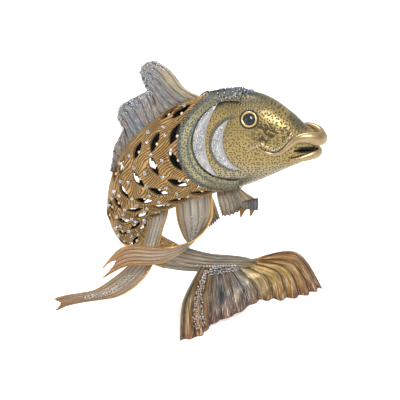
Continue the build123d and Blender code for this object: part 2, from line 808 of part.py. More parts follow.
# Tail stem, with the spigot that enters the body
stem_half = half_form(STEM_SHARES, 0, stem_sections)
spigot_rows = [spine_row(SPINE_SHARES, share) for share in row_of(0, spigot_share, spigot_sections)]
spigot = closed_half([half_section(row, -skin_wall - seat_gap) for row in spigot_rows])
stem = stem_half + spigot
pieces["tail_stem"] = [stem + across(stem)]
stem_seat = half_form(STEM_SHARES, seat_gap, stem_sections)
stem_side = side_face(half_form(STEM_SHARES, seat_gap, stem_sections))
stem_stones = []
for share in row_of(stem_row_start_share, stem_row_end_share, stem_stone_count):
    row = spine_row(STEM_SHARES, share)
    stem_stones.append(near_hit(stem_side, row[0] * body_reach, row[1] * head_height) * pave_cut)
pieces["stem_crystals"] = stem_stones

# From here the pieces lie in the figure's own frame
for name, solids in pieces.items():
    pieces[name] = [to_figure(solid) for solid in solids]
body_seat = to_figure(whole_skin_seat)
fin_seat = to_figure(stem_seat + across(stem_seat))

# Belly ribbons and pectoral fins
fin_rows = {}
for name, sizes, table, thickness, share, place in (
    ("front_ribbon_fin", front_ribbon_sizes, FRONT_RIBBON_SHARES, ribbon_thickness,
     front_ribbon_root_share, front_peg_place),
    ("rear_ribbon_fin", rear_ribbon_sizes, REAR_RIBBON_SHARES, ribbon_thickness,
     rear_ribbon_root_share, rear_peg_place),
    ("pectoral_fin_left", pectoral_sizes, LEFT_PECTORAL_SHARES, pectoral_thickness,
     pectoral_root_share, left_peg_place),
    ("pectoral_fin_right", pectoral_sizes, RIGHT_PECTORAL_SHARES, pectoral_thickness,
     near_pectoral_root_share, right_peg_place),
):
    ridge = place if table is RIGHT_PECTORAL_SHARES else belly_place(share, 180)
    root = figure_point(ridge.origin)
    fin_rows[name] = spread(root, (*sizes, root.Z)[:3], table)
    fin = one_solid(blade(fin_rows[name], thickness) - body_seat)
    pieces[name] = [one_solid(above_floor(fin + to_figure(peg(place))))]

# Tail fin, cut level with the floor where its lobes stand on it
tail_point = Vector(tail_root_share * body_reach, 0, tail_root_height_share * head_height)
tail_root = figure_point(tail_point)
tail_rows = spread(tail_root, (*tail_sizes, tail_root.Z), TAIL_SHARES)
tail = one_solid(blade(tail_rows, tail_thickness) - fin_seat)
pieces["tail_fin"] = [one_solid(above_floor(tail))]

# Stones on the ribbons and the tail
fin_lift = ribbon_thickness / 2 + seat_gap
tail_lift = tail_thickness / 2 + seat_gap
for name, run in (("front_ribbon", front_stone_run_shares), ("rear_ribbon", rear_stone_run_shares)):
    places = [(row, along) for along in row_of(*run, ribbon_stone_count) for row in ribbon_row_shares]
    face = sheet(fin_rows[name + "_fin"])
    pieces[name + "_crystals"] = stones_on(face, places, fin_lift, near_side(face, places[0]))
places = [(along, row) for along in row_of(*tail_stone_run_shares, tail_stone_count)
          for row in tail_row_shares]
tail_sheet = sheet(tail_rows)
pieces["tail_crystals"] = stones_on(tail_sheet, places, tail_lift, near_side(tail_sheet, places[0]))

# The middle of the footprint goes to the Z axis
box = Compound([solid for solids in pieces.values() for solid in solids]).bounding_box()
centre = box.center()
for name, solids in pieces.items():
    moved = [Pos(-centre.X, -centre.Y, 0) * solid for solid in solids]
    shape = moved[0] if len(moved) == 1 else Compound(moved)
    shape.label = name
    export_step(shape, f"parts/{name}.step")
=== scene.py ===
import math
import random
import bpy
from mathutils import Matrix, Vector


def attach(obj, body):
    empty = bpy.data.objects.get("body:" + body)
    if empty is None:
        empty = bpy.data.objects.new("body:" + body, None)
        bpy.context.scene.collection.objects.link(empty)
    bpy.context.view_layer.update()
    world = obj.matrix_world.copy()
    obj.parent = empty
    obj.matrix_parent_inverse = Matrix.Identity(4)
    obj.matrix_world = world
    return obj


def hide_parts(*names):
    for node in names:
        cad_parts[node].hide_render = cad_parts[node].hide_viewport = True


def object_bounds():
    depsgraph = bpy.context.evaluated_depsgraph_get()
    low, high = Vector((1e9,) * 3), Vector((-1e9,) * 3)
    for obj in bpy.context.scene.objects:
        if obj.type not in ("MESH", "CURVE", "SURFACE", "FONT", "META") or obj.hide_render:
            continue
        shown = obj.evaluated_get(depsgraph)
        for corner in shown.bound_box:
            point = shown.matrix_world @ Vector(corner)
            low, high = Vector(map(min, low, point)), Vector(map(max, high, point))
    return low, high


bl_info = {
    "name": "Jewelled Carp Figurine",
    "version": (1, 0, 0),
    "blender": (4, 5, 0),
    "location": "View3D > Sidebar > Carp",
    "description": "Builds the looks of a jewelled, enamelled cast-metal carp around its packed frame",
    "category": "Object",
}

import bmesh
import bpy
from mathutils import Matrix, Vector, kdtree

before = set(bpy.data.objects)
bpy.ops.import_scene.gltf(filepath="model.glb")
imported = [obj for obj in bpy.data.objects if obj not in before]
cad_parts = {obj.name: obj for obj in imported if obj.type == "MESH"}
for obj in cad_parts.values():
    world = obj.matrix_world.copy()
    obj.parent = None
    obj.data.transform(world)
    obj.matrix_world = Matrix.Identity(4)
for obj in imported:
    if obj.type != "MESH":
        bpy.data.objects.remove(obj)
cad_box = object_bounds()

MM = 0.001

# The same stance and spine as the part's source, in millimetres and degrees
FISH_TURN = math.radians(12.0)
BEND = (-49.0, 95.0)
FOOTPRINT_SHIFT = (0.2265, -56.8963)
BODY_REACH = 158.0
HEAD_HEIGHT = 154.0
SHOULDER_DEPTH = 86.0
SHOULDER_THICKNESS = 53.0
NECK_P, NECK_Z, NECK_RADIUS = 89.0, 151.0, 42.0
FLOOR_CLEARANCE = 0.05

# Rows of the spine: place along, place up, depth and thickness as shares, and heading
SPINE = (
    (0.212, 0.255, 0.295, 0.345, -120.0), (0.110, 0.295, 0.337, 0.390, -132.0),
    (0.043, 0.353, 0.370, 0.450, -155.0), (0.003, 0.417, 0.426, 0.528, -176.0),
    (-0.003, 0.503, 0.509, 0.604, -198.0), (0.019, 0.595, 0.600, 0.698, -216.0),
    (0.067, 0.686, 0.719, 0.792, -232.0), (0.145, 0.769, 0.840, 0.887, -245.0),
    (0.253, 0.851, 0.921, 0.962, -254.0), (0.389, 0.923, 0.990, 1.000, -262.5),
    (0.542, 0.969, 0.986, 0.981, -266.0), (0.644, 0.990, 0.935, 0.925, -268.5),
    (0.746, 1.000, 0.791, 0.849, -270.0), (0.849, 0.992, 0.565, 0.698, -272.0),
    (0.916, 0.978, 0.395, 0.540, -274.0), (0.958, 0.976, 0.300, 0.420, -276.0),
    (0.985, 0.978, 0.240, 0.350, -274.0),
)
STEM = (
    (0.212, 0.255, 0.295, 0.345, -120.0), (0.311, 0.241, 0.240, 0.300, -109.0),
    (0.419, 0.236, 0.190, 0.260, -102.0), (0.510, 0.244, 0.160, 0.230, -99.0),
    (0.605, 0.253, 0.118, 0.170, -98.0), (0.680, 0.258, 0.060, 0.090, -98.0),
)

# Rings of piercings: share of the spine, and angles down from the back
PIERCINGS = (
    (0.508, (26.0, 54.0, 86.0, 120.0, 152.0)), (0.455, (24.0, 50.0, 77.0, 114.0, 148.0)),
    (0.395, (14.0, 43.0, 78.0, 111.0, 146.0)), (0.330, (39.0, 69.0, 108.0, 144.0)),
    (0.280, (30.0, 63.0, 102.0, 140.0)), (0.235, (46.0, 81.0, 120.0)),
    (0.185, (36.0, 72.0, 110.0, 146.0)), (0.130, (54.0, 92.0, 130.0)),
)
RING_BOW, RING_MIDDLE, RING_SPAN = 0.05, 75.0, 40.0

# Tips of the back fin's rays, and the hung fins' sheets, as shares of their sizes
DORSAL_TIPS = (
    (0.113, 1.386), (0.070, 1.370), (0.045, 1.324), (0.062, 1.262), (0.082, 1.217),
    (0.048, 1.191), (-0.027, 1.144), (-0.066, 1.108), (-0.076, 1.040), (-0.046, 0.991),
    (-0.095, 0.876), (-0.106, 0.800), (-0.116, 0.735),
)
FRONT_RIBBON = (
    ((0.19, -0.07, 0.10), (-0.21, 0.08, -0.06)), ((0.205, -0.22, -0.07), (-0.195, 0.08, -0.20)),
    ((0.185, -0.30, -0.15), (-0.165, 0.04, -0.29)), ((0.12, -0.43, -0.23), (-0.12, -0.04, -0.37)),
    ((0.0, -0.56, -0.30), (-0.06, -0.17, -0.43)), ((-0.13, -0.62, -0.335), (-0.13, -0.43, -0.435)),
    ((-0.29, -0.66, -0.355), (-0.29, -0.66, -0.48)), ((-0.465, -0.71, -0.34), (-0.465, -0.80, -0.493)),
    ((-0.66, -0.78, -0.31), (-0.675, -0.89, -0.478)), ((-0.82, -0.86, -0.335), (-0.83, -0.94, -0.51)),
    ((-1.0, -0.95, -0.495), (-1.0, -1.0, -0.58)),
)
REAR_RIBBON = (
    ((0.064, -0.03, 0.09), (-0.131, -0.20, 0.09)), ((0.047, -0.11, -0.02), (-0.137, -0.20, -0.07)),
    ((0.017, -0.22, -0.11), (-0.149, -0.18, -0.17)), ((-0.029, -0.40, -0.28), (-0.177, -0.19, -0.32)),
    ((-0.076, -0.62, -0.42), (-0.232, -0.27, -0.44)), ((-0.140, -0.81, -0.52), (-0.305, -0.40, -0.51)),
    ((-0.244, -0.94, -0.63), (-0.428, -0.58, -0.60)), ((-0.400, -0.99, -0.735), (-0.610, -0.72, -0.72)),
    ((-0.578, -0.91, -0.795), (-0.755, -0.72, -0.765)), ((-0.744, -0.77, -0.86), (-0.888, -0.69, -0.80)),
    ((-0.900, -0.65, -0.935), (-0.975, -0.67, -0.83)), ((-1.006, -0.57, -1.015), (-1.0, -0.66, -0.845)),
)
LEFT_PECTORAL = (
    ((-0.20, 0.10, 0.10), (-0.14, -0.20, -0.48), (-0.03, -0.64, -0.95)),
    ((-0.04, 0.05, 0.14), (0.10, -0.40, -0.38), (0.18, -0.84, -0.84)),
    ((0.11, -0.02, 0.20), (0.31, -0.52, -0.26), (0.41, -0.94, -0.62)),
    ((0.22, -0.12, 0.24), (0.44, -0.64, -0.18), (0.66, -0.98, -0.50)),
    ((0.28, -0.20, 0.30), (0.62, -0.50, 0.02), (0.92, -0.84, -0.20)),
)
RIGHT_PECTORAL = (
    ((-0.30, 0.60, 0.05), (-0.10, 0.66, -0.85), (0.00, 0.62, -1.75)),
    ((-0.14, 0.60, 0.08), (0.05, 0.64, -0.80), (0.16, 0.60, -1.80)),
    ((0.00, 0.58, 0.10), (0.18, 0.60, -0.70), (0.32, 0.56, -1.62)),
    ((0.08, 0.56, 0.12), (0.30, 0.56, -0.55), (0.46, 0.52, -1.35)),
)
TAIL = (
    ((-0.150, 0.05, -0.03), (-0.290, -0.50, -0.48), (-0.312, -0.99, -1.012)),
    ((-0.110, 0.04, -0.02), (-0.195, -0.46, -0.53), (-0.170, -0.87, -1.012)),
    ((-0.070, 0.03, -0.01), (-0.085, -0.36, -0.50), (-0.085, -0.64, -0.930)),
    ((-0.020, 0.01, 0.01), (0.055, -0.28, -0.43), (0.082, -0.43, -0.880)),
    ((0.030, -0.01, 0.02), (0.185, -0.15, -0.34), (0.240, -0.11, -0.850)),
    ((0.080, -0.02, 0.04), (0.355, -0.02, -0.23), (0.417, -0.03, -0.890)),
    ((0.120, -0.04, 0.06), (0.458, 0.12, -0.14), (0.588, 0.17, -0.950)),
    ((0.160, -0.05, 0.08), (0.500, 0.22, 0.06), (0.692, 0.38, -0.990)),
)
PECTORAL_SIZES = (32.0, 20.0, 20.0)

# Crescents: centre, radius, first and last angle, and width
GILL_CRESCENT = ((91.0, 155.0), 33.0, 118.0, 246.0, 10.5)
CHEEK_CRESCENT = ((96.0, 154.0), 22.0, 116.0, 272.0, 9.5)
LIP_LINE = ((103.5, 151.5), (109.0, 154.5), (115.0, 155.2), (120.0, 152.6), (125.0, 151.2),
            (130.0, 153.6), (135.0, 158.5), (139.5, 163.0))
EYE = (104.0, 175.7)

# Stage: lamps by name, place, size and power, and the camera
LAMPS = (
    ("key_softbox", (0.45, -0.75, 0.95), 0.4, 8.0),
    ("fill_softbox", (-0.8, -0.6, 0.45), 0.6, 2.0),
    ("top_softbox", (-0.1, 0.35, 1.2), 0.6, 6.0),
)
LAMP_AIM = (0.0, 0.0, 0.1)
CAMERA_TILT = math.radians(22.0)
CAMERA_TARGET = (0.0085, 0.0, 0.1032)
CAMERA_DISTANCE = 2.6
PICTURE_WIDTH = 0.332
SENSOR_WIDTH = 36.0


def smooth_row(table, share):
    """One row of a table of numbers, read smoothly at a share of its length."""
    last = len(table) - 1
    place = min(max(share, 0.0), 1.0) * last
    low = min(int(place), last - 1)
    part = place - low
    rows = [table[min(max(low + step, 0), last)] for step in (-1, 0, 1, 2)]
    values = []
    for before, start, end, after in zip(*rows):
        bend = 2 * before - 5 * start + 4 * end - after
        twist = 3 * (start - end) + after - before
        values.append(start + part * (end - before + part * (bend + part * twist)) / 2)
    return values


def smooth_grid(table, along, across):
    """A point of a table of rows of points, read smoothly both ways."""
    points = [[value for point in row for value in point] for row in table]
    row = smooth_row(points, along)
    return Vector(smooth_row([row[step:step + 3] for step in range(0, len(row), 3)], across))


def from_fish(p, q, z):
    """A point of the fish's own plane, in millimetres, as a point of the frame in metres."""
    cos, sin = math.cos(FISH_TURN), math.sin(FISH_TURN)
    x = BEND[0] + p * cos + q * sin + FOOTPRINT_SHIFT[0]
    y = BEND[1] - p * sin + q * cos + FOOTPRINT_SHIFT[1]
    return Vector((x, y, z)) * MM


ORIGIN = from_fish(0, 0, 0)
AHEAD = (from_fish(1, 0, 0) - ORIGIN).normalized()
LEFTWARD = (from_fish(0, 1, 0) - ORIGIN).normalized()


def skin_mm(table, share, angle, side, lift):
    """A skin point in the fish's own plane: angle in degrees from the back, side -1 is near."""
    place_p, place_z, deep, thick, heading = smooth_row(table, share)
    turn = math.radians(angle)
    heading = math.radians(heading)
    deep = deep * SHOULDER_DEPTH / 2 + lift
    thick = thick * SHOULDER_THICKNESS / 2 + lift
    out = deep * math.cos(turn)
    p = place_p * BODY_REACH + out * math.cos(heading)
    z = place_z * HEAD_HEIGHT + out * math.sin(heading)
    return Vector((p, side * thick * math.sin(turn), z))


def skin(share, angle, side=-1, lift=0.0, table=SPINE):
    """A skin point in the frame."""
    return from_fish(*skin_mm(table, share, angle, side, lift))


def skin_normal(share, angle, side):
    """The outward direction of the skin."""
    turn, step = 0.5, 0.004
    around = skin(share, angle + turn, side) - skin(share, angle - turn, side)
    along = skin(share + step, angle, side) - skin(share - step, angle, side)
    normal = around.cross(along).normalized()
    centre = smooth_row(SPINE, share)
    middle = from_fish(centre[0] * BODY_REACH, 0, centre[1] * HEAD_HEIGHT)
    return normal if normal.dot(skin(share, angle, side) - middle) > 0 else -normal


def flank(p, z, side):
    """The skin point that lies at a place in the side view, with the outward direction there."""
    def gap_at(share, turn):
        """How far the place lies from the spine's section, measured along a turned heading."""
        row = smooth_row(SPINE, share)
        heading = math.radians(row[4]) + turn
        across, up = p - row[0] * BODY_REACH, z - row[1] * HEAD_HEIGHT
        return across * math.cos(heading) + up * math.sin(heading)

    low, high, halvings = 0.45, 1.0, 40
    for _ in range(halvings):
        middle = (low + high) / 2
        if (gap_at(low, math.pi / 2) > 0) == (gap_at(middle, math.pi / 2) > 0):
            low = middle
        else:
            high = middle
    deep = smooth_row(SPINE, low)[2] * SHOULDER_DEPTH / 2
    angle = math.degrees(math.acos(max(-1.0, min(1.0, gap_at(low, 0.0) / deep))))
    return skin(low, angle, side), skin_normal(low, angle, side)


def hanging(root, sizes, table):
    """A function that reads a hung fin's sheet, set out from its root at its sizes."""
    def place(along, across):
        share = smooth_grid(table, along, across)
        return root + Vector([part * size for part, size in zip(share, sizes)]) * MM

    return place


def crossed(place):
    """The same sheet with its two shares changed over."""
    return lambda along, across: place(across, along)


def select_only(*objects):
    """Deselects everything, then selects the given objects."""
    if bpy.context.mode != "OBJECT":
        bpy.ops.object.mode_set(mode="OBJECT")
    bpy.ops.object.select_all(action="DESELECT")
    for item in objects:
        item.select_set(True)
    bpy.context.view_layer.objects.active = objects[0] if objects else None


def named(name):
    """Names the new active object and its mesh."""
    made = bpy.context.object
    made.name = name
    made.data.name = name
    return made


def apply_modifier(piece, kind, **settings):
    """Adds a modifier with its settings and applies it."""
    select_only(piece)
    modifier = piece.modifiers.new(kind.title(), kind)
    for key, value in settings.items():
        setattr(modifier, key, value)
    bpy.ops.object.modifier_apply(modifier=modifier.name)


def rounded(piece, angle):
    """Smooth shading, broken at edges sharper than an angle in degrees."""
    select_only(piece)
    bpy.ops.object.shade_smooth_by_angle(angle=math.radians(angle))


def outward(piece):
    """Merges doubles and points the faces outwards."""
    select_only(piece)
    bpy.ops.object.mode_set(mode="EDIT")
    bpy.ops.mesh.select_all(action="SELECT")
    bpy.ops.mesh.remove_doubles(threshold=0.01 * MM)
    bpy.ops.mesh.normals_make_consistent(inside=False)
    bpy.ops.object.mode_set(mode="OBJECT")


def within_frame(piece):
    """Keeps the outermost points of a piece in the frame's box."""
    low, high = cad_box
    for vertex in piece.data.vertices:
        for axis in range(3):
            vertex.co[axis] = min(max(vertex.co[axis], low[axis]), high[axis])


def joined(piece, material, *nodes):
    """Gives a piece its material and its body, keeps it in the frame's box, and hides the CAD nodes that it
    stands for.
    """
    if material is not None:
        piece.data.materials.clear()
        piece.data.materials.append(material)
    within_frame(piece)
    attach(piece, "root")
    if nodes:
        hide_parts(*nodes)


def dress(node_name, material):
    """Gives a CAD node its material."""
    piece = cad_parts[node_name]
    piece.data.materials.clear()
    piece.data.materials.append(material)


def grid_piece(name, rows, columns, place):
    """A grid whose vertices go where a function of its two shares puts them; its UV stays."""
    select_only()
    bpy.ops.mesh.primitive_grid_add(
        x_subdivisions=columns, y_subdivisions=rows, size=1, location=(0, 0, 0)
    )
    piece = named(name)
    for vertex in piece.data.vertices:
        vertex.co = place(vertex.co.x + 0.5, vertex.co.y + 0.5)
    return piece


def sheet_piece(piece, thickness_mm, angle, material, *nodes):
    """Gives a sheet its thickness, points it outwards, smooths it and joins it on."""
    apply_modifier(piece, "SOLIDIFY", thickness=thickness_mm * MM, offset=0)
    outward(piece)
    rounded(piece, angle)
    joined(piece, material, *nodes)


def linear(colour):
    """An sRGB hex colour as linear values."""
    parts = [int(colour[step:step + 2], 16) / 255 for step in (1, 3, 5)]
    values = [part / 12.92 if part <= 0.04045 else ((part + 0.055) / 1.055) ** 2.4 for part in parts]
    return (*values, 1.0)


def node(tree, kind, *inputs, sockets=None, out=0, stops=(), **settings):
    """Adds a shader node with its settings, its inputs in order or by socket, and any ramp
    stops. Gives one output, or all of them where out is None."""
    made = tree.nodes.new("ShaderNode" + kind)
    for key, value in settings.items():
        setattr(made, key, value)
    for socket, value in (dict(enumerate(inputs)) | (sockets or {})).items():
        if isinstance(value, bpy.types.NodeSocket):
            tree.links.new(value, made.inputs[socket])
        else:
            made.inputs[socket].default_value = linear(value) if isinstance(value, str) else value
    if stops:
        ramp = made.color_ramp
        while len(ramp.elements) < len(stops):
            ramp.elements.new(0.5)
        for element, (position, colour) in zip(ramp.elements, stops):
            element.position = position
            element.color = linear(colour)
    return made.outputs if out is None else made.outputs[out]


def finish(name, metallic, roughness):
    """A new material and its node tree."""
    material = bpy.data.materials.new(name)
    material.use_nodes = True
    shader = material.node_tree.nodes["Principled BSDF"]
    shader.inputs["Metallic"].default_value = metallic
    shader.inputs["Roughness"].default_value = roughness
    return material, material.node_tree


def painted(tree, base, *layers):
    """Lays colours over a base in order, each where its mask is one."""
    for mask, colour in layers:
        base = node(tree, "Mix", mask, sockets={6: base, 7: colour}, out=2, data_type="RGBA")
    return base


def surfaced(tree, colour, height=None, depth_mm=0.0, strength=0.0):
    """Gives the surface its colour, and a relief where it has one."""
    shader = tree.nodes["Principled BSDF"]
    tree.links.new(colour, shader.inputs["Base Color"])
    if height is not None:
        relief = node(tree, "Bump", sockets={
            "Height": height, "Distance": depth_mm * MM, "Strength": strength,
        })
        tree.links.new(relief, shader.inputs["Normal"])


def cloud(tree, spot_mm, detail, roughness=0.5):
    """Soft spots of a real size all through a piece."""
    place = node(tree, "TexCoord", out="Object")
    return node(tree, "TexNoise", place, sockets={
        "Scale": 1 / (spot_mm * MM), "Detail": detail, "Roughness": roughness,
    })


def streaks(tree, along, across, detail, roughness=0.5, distortion=0.0):
    """Uneven streaks on the UV map: how many fit along it and across it."""
    uv = node(tree, "TexCoord", out="UV")
    stretched = node(tree, "Mapping", uv, sockets={"Scale": (along, across, 1.0)})
    return node(tree, "TexNoise", stretched, sockets={
        "Scale": 1.0, "Detail": detail, "Roughness": roughness, "Distortion": distortion,
    })


def patch(tree, centre, inner_mm, outer_mm):
    """One inside a ball in object space, falling to nothing at its outer radius."""
    place = node(tree, "TexCoord", out="Object")
    gap = node(tree, "VectorMath", place, tuple(centre), out="Value", operation="DISTANCE")
    return node(tree, "MapRange", gap, inner_mm * MM, outer_mm * MM, 1.0, 0.0,
                interpolation_type="SMOOTHSTEP")


def side_view(tree):
    """The surface's place in the fish's own side view: along it and up, in metres."""
    place = node(tree, "TexCoord", out="Object")
    along = node(tree, "VectorMath", place, tuple(AHEAD), out="Value", operation="DOT_PRODUCT")
    along = node(tree, "Math", along, ORIGIN.dot(AHEAD), operation="SUBTRACT")
    up = node(tree, "SeparateXYZ", place, out=2)
    return node(tree, "CombineXYZ", along, up)


def ring_line(tree, p, z, radius_mm, half_width_mm, strength):
    """A soft line on a circle drawn in the side view."""
    gap = node(tree, "VectorMath", side_view(tree), (p * MM, z * MM, 0.0), out="Value",
               operation="DISTANCE")
    off = node(tree, "Math", gap, radius_mm * MM, operation="SUBTRACT")
    off = node(tree, "Math", off, operation="ABSOLUTE")
    return node(tree, "MapRange", off, 0.3 * half_width_mm * MM, half_width_mm * MM, strength, 0.0)


def punched_pits(tree):
    """Pits 2.3 mm apart in uneven rows: nothing in a pit and one between them."""
    cells = node(tree, "TexVoronoi", side_view(tree), out="Distance", voronoi_dimensions="2D",
                 sockets={"Scale": 1 / (2.3 * MM), "Randomness": 0.75})
    return node(tree, "MapRange", cells, 0.14, 0.36)


def mottled(name, metallic, roughness, spot_mm, detail, low, high, depth_mm=0.0, strength=0.0):
    """A finish in two near colours, with a relief from the same soft spots."""
    material, tree = finish(name, metallic, roughness)
    spots = cloud(tree, spot_mm, detail)
    relief = spots if depth_mm else None
    surfaced(tree, painted(tree, low, (spots, high)), relief, depth_mm, strength)
    return material


def dark_inside():
    """Nearly black and dull: painted shade on the inner walls of the hollow body and on the neck band, and
    the dark enamel line round the eyes.
    """
    return mottled("dark_enamel_and_inner_shade", 0.0, 0.6, 3.333, 3.0, "#0F0C0A", "#2E251C", 0.2, 0.5)


def plate_enamel():
    """Lilac-silver enamel under the set stones: pale, soft sheen."""
    return mottled("lilac_silver_enamel", 0.5, 0.3, 11.11, 4.0, "#8C8A88", "#BDB9B6", 0.1, 0.3)


def cup_silver():
    """Rhodium-plated stone cups: bright cool silver, mottled with darker spots."""
    return mottled("silver_plated_cups", 1.0, 0.22, 1.429, 2.0, "#6E6F75", "#E4E4E6", 0.15, 0.4)


def pearl_glaze():
    """Imitation pearl: cream nacre coating with a soft gloss."""
    material = mottled("cream_pearl", 0.0, 0.25, 2.0, 2.0, "#DCC9A4", "#F6EEDC")
    material.node_tree.nodes["Principled BSDF"].inputs["Coat Weight"].default_value = 0.7
    return material


def polished_gold(name, low, high, roughness):
    """Polished gold plating: mirror-like, with the soft unevenness of a hand polish."""
    material = mottled(name, 1.0, roughness, 8.333, 3.0, low, high, 0.3, 0.25)
    tree = material.node_tree
    rough = node(tree, "MapRange", cloud(tree, 8.333, 3.0), 0.3, 0.7, roughness - 0.06, roughness + 0.1)
    tree.links.new(rough, tree.nodes["Principled BSDF"].inputs["Roughness"])
    return material


def stone_glass(name, tint, roughness=0.04, metallic=0.3, depth="#4A4E58", gloss=1.0):
    """Cut lead glass with a foiled back: bright, tinted, sharp facets."""
    material, tree = finish(name, metallic, roughness)
    place = node(tree, "TexCoord", out="Object")
    # Painted reflection: random cells about 1.1 mm wide darken the stones towards a dark facet colour
    cell = node(tree, "TexVoronoi", place, sockets={"Scale": 1 / (1.111 * MM)}, out="Color")
    dark = node(tree, "Math", node(tree, "SeparateColor", cell), 0.8, operation="MULTIPLY")
    surfaced(tree, painted(tree, tint, (dark, depth)))
    shader = tree.nodes["Principled BSDF"]
    shader.inputs["Specular IOR Level"].default_value = gloss * 0.9
    shader.inputs["Coat Weight"].default_value = gloss
    shader.inputs["Coat Roughness"].default_value = 0.02
    return material


def engraved_bronze():
    """Brass casting with bronze-gold plating: hatch lines engraved in fans, dark in the cuts."""
    material, tree = finish("engraved_bronze_plating", 0.45, 0.4)
    along, round_it, _ = node(tree, "SeparateXYZ", node(tree, "TexCoord", out="UV"), out=None)
    # The lines fan once for each row of scales, and stay near 2 mm apart as the girth grows.
    # Real ones are finer: these are as coarse as they need to be to show.
    fan = node(tree, "Math", node(tree, "Math", along, 50.0, operation="MULTIPLY"), operation="SINE")
    bow = node(tree, "Math", node(tree, "Math", round_it, 24.0, operation="MULTIPLY"), operation="SINE")
    lean = node(tree, "Math", node(tree, "Math", fan, bow, operation="MULTIPLY"), 5.0, operation="MULTIPLY")
    count = node(tree, "Math", along, 290.0, 110.0, operation="MULTIPLY_ADD")
    phase = node(tree, "Math", round_it, count, lean, operation="MULTIPLY_ADD")
    wander = streaks(tree, 18.0, 18.0, 2.0, distortion=0.4)
    phase = node(tree, "Math", wander, 9.0, phase, operation="MULTIPLY_ADD")
    hatch = node(tree, "Math", phase, operation="SINE")
    flat = node(tree, "MapRange", hatch, -1.0, -0.1)
    gold = painted(tree, "#AC8048", (cloud(tree, 16.67, 5.0), "#E2BE80"))
    height = node(tree, "Math", cloud(tree, 0.6667, 2.0), 0.6, hatch, operation="MULTIPLY_ADD")
    surfaced(tree, painted(tree, "#5E4222", (flat, gold)), height, 0.5, 1.0)
    return material


def head_gold(tree, spots):
    """Mottled olive gold that pales to silver-grey under the jaw."""
    height = node(tree, "SeparateXYZ", node(tree, "TexCoord", out="Object"), out=2)
    jaw = node(tree, "MapRange", height, 0.140, 0.120)
    return painted(tree, "#7A6A42", (spots, "#BEA66C"), (jaw, "#A7A08C"))


def shaded_crown(tree, gold):
    """Darkens a gold towards the top of the head and the bridge of the nose."""
    height = node(tree, "SeparateXYZ", node(tree, "TexCoord", out="Object"), out=2)
    crown = node(tree, "MapRange", height, 0.176, 0.192, 0.0, 0.85)
    nose = patch(tree, from_fish(141.0, 0.0, 170.0), 6.0, 17.0)
    nose = node(tree, "Math", nose, 0.7, operation="MULTIPLY")
    dark = node(tree, "Math", crown, nose, operation="MAXIMUM")
    return painted(tree, gold, (dark, "#3E4441"))


def antique_gold():
    """Brass casting with antique gold plating: punched pits that hold dark wax, dark crown."""
    material, tree = finish("antique_gold_plating", 0.7, 0.32)
    gold = shaded_crown(tree, head_gold(tree, cloud(tree, 18.18, 6.0, 0.6)))
    blotch = node(tree, "MapRange", cloud(tree, 3.846, 4.0), 0.46, 0.54, 0.0, 0.85)
    for side in (-1, 1):
        cheek = patch(tree, flank(118.0, 165.0, side)[0], 6.0, 15.0)
        lips = patch(tree, flank(132.0, 164.0, side)[0], 3.0, 11.0)
        shade = node(tree, "Math", cheek, lips, operation="MAXIMUM")
        shade = node(tree, "Math", shade, blotch, operation="MULTIPLY")
        gold = painted(tree, gold, (shade, "#2B2A20"))
    along, up, _ = node(tree, "SeparateXYZ", side_view(tree), out=None)
    rear = node(tree, "MapRange", along, 0.088, 0.102, 0.75, 0.0)
    for p, z, radius, width, colour in (
        (91.0, 155.0, 34.0, 2.2, "#4A5558"), (96.0, 154.0, 23.4, 2.4, "#4A5558"),
        (96.0, 154.0, 12.6, 1.2, "#8F8A74"),
    ):
        line = node(tree, "Math", ring_line(tree, p, z, radius, width, 1.0), rear, operation="MULTIPLY")
        gold = painted(tree, gold, (line, colour))
    # Painted shade: a dark slit in the gap between the lips
    inside = node(tree, "MapRange", along, 0.140, 0.146)
    level = node(tree, "Math", node(tree, "Math", up, 0.1495, operation="SUBTRACT"), operation="ABSOLUTE")
    level = node(tree, "MapRange", level, 0.0022, 0.0036, 1.0, 0.0)
    mouth_gap_shade = node(tree, "Math", inside, level, operation="MULTIPLY")
    pits = punched_pits(tree)
    surfaced(tree, painted(tree, "#463C22", (pits, gold), (mouth_gap_shade, "#15100A")), pits, 0.35, 0.55)
    return material


def collar_enamel(name):
    """Hard enamel over stippled metal: blue-grey lines at its rims, and the head's gold in front."""
    material, tree = finish(name, 0.6, 0.36)
    spots = cloud(tree, 14.29, 5.0)
    enamel = painted(tree, "#77785F", (spots, "#B2A67F"))
    for radius, width in ((NECK_RADIUS + 0.6, 2.4), (NECK_RADIUS - 7.0, 1.6)):
        rim = ring_line(tree, NECK_P, NECK_Z, radius, width, 0.75)
        enamel = painted(tree, enamel, (rim, "#4A5A66"))
    front = node(tree, "MapRange", node(tree, "SeparateXYZ", side_view(tree)), 0.072, 0.088)
    enamel = shaded_crown(tree, painted(tree, enamel, (front, head_gold(tree, spots))))
    pits = punched_pits(tree)
    surfaced(tree, painted(tree, "#41402C", (pits, enamel)), pits, 0.3, 0.6)
    return material


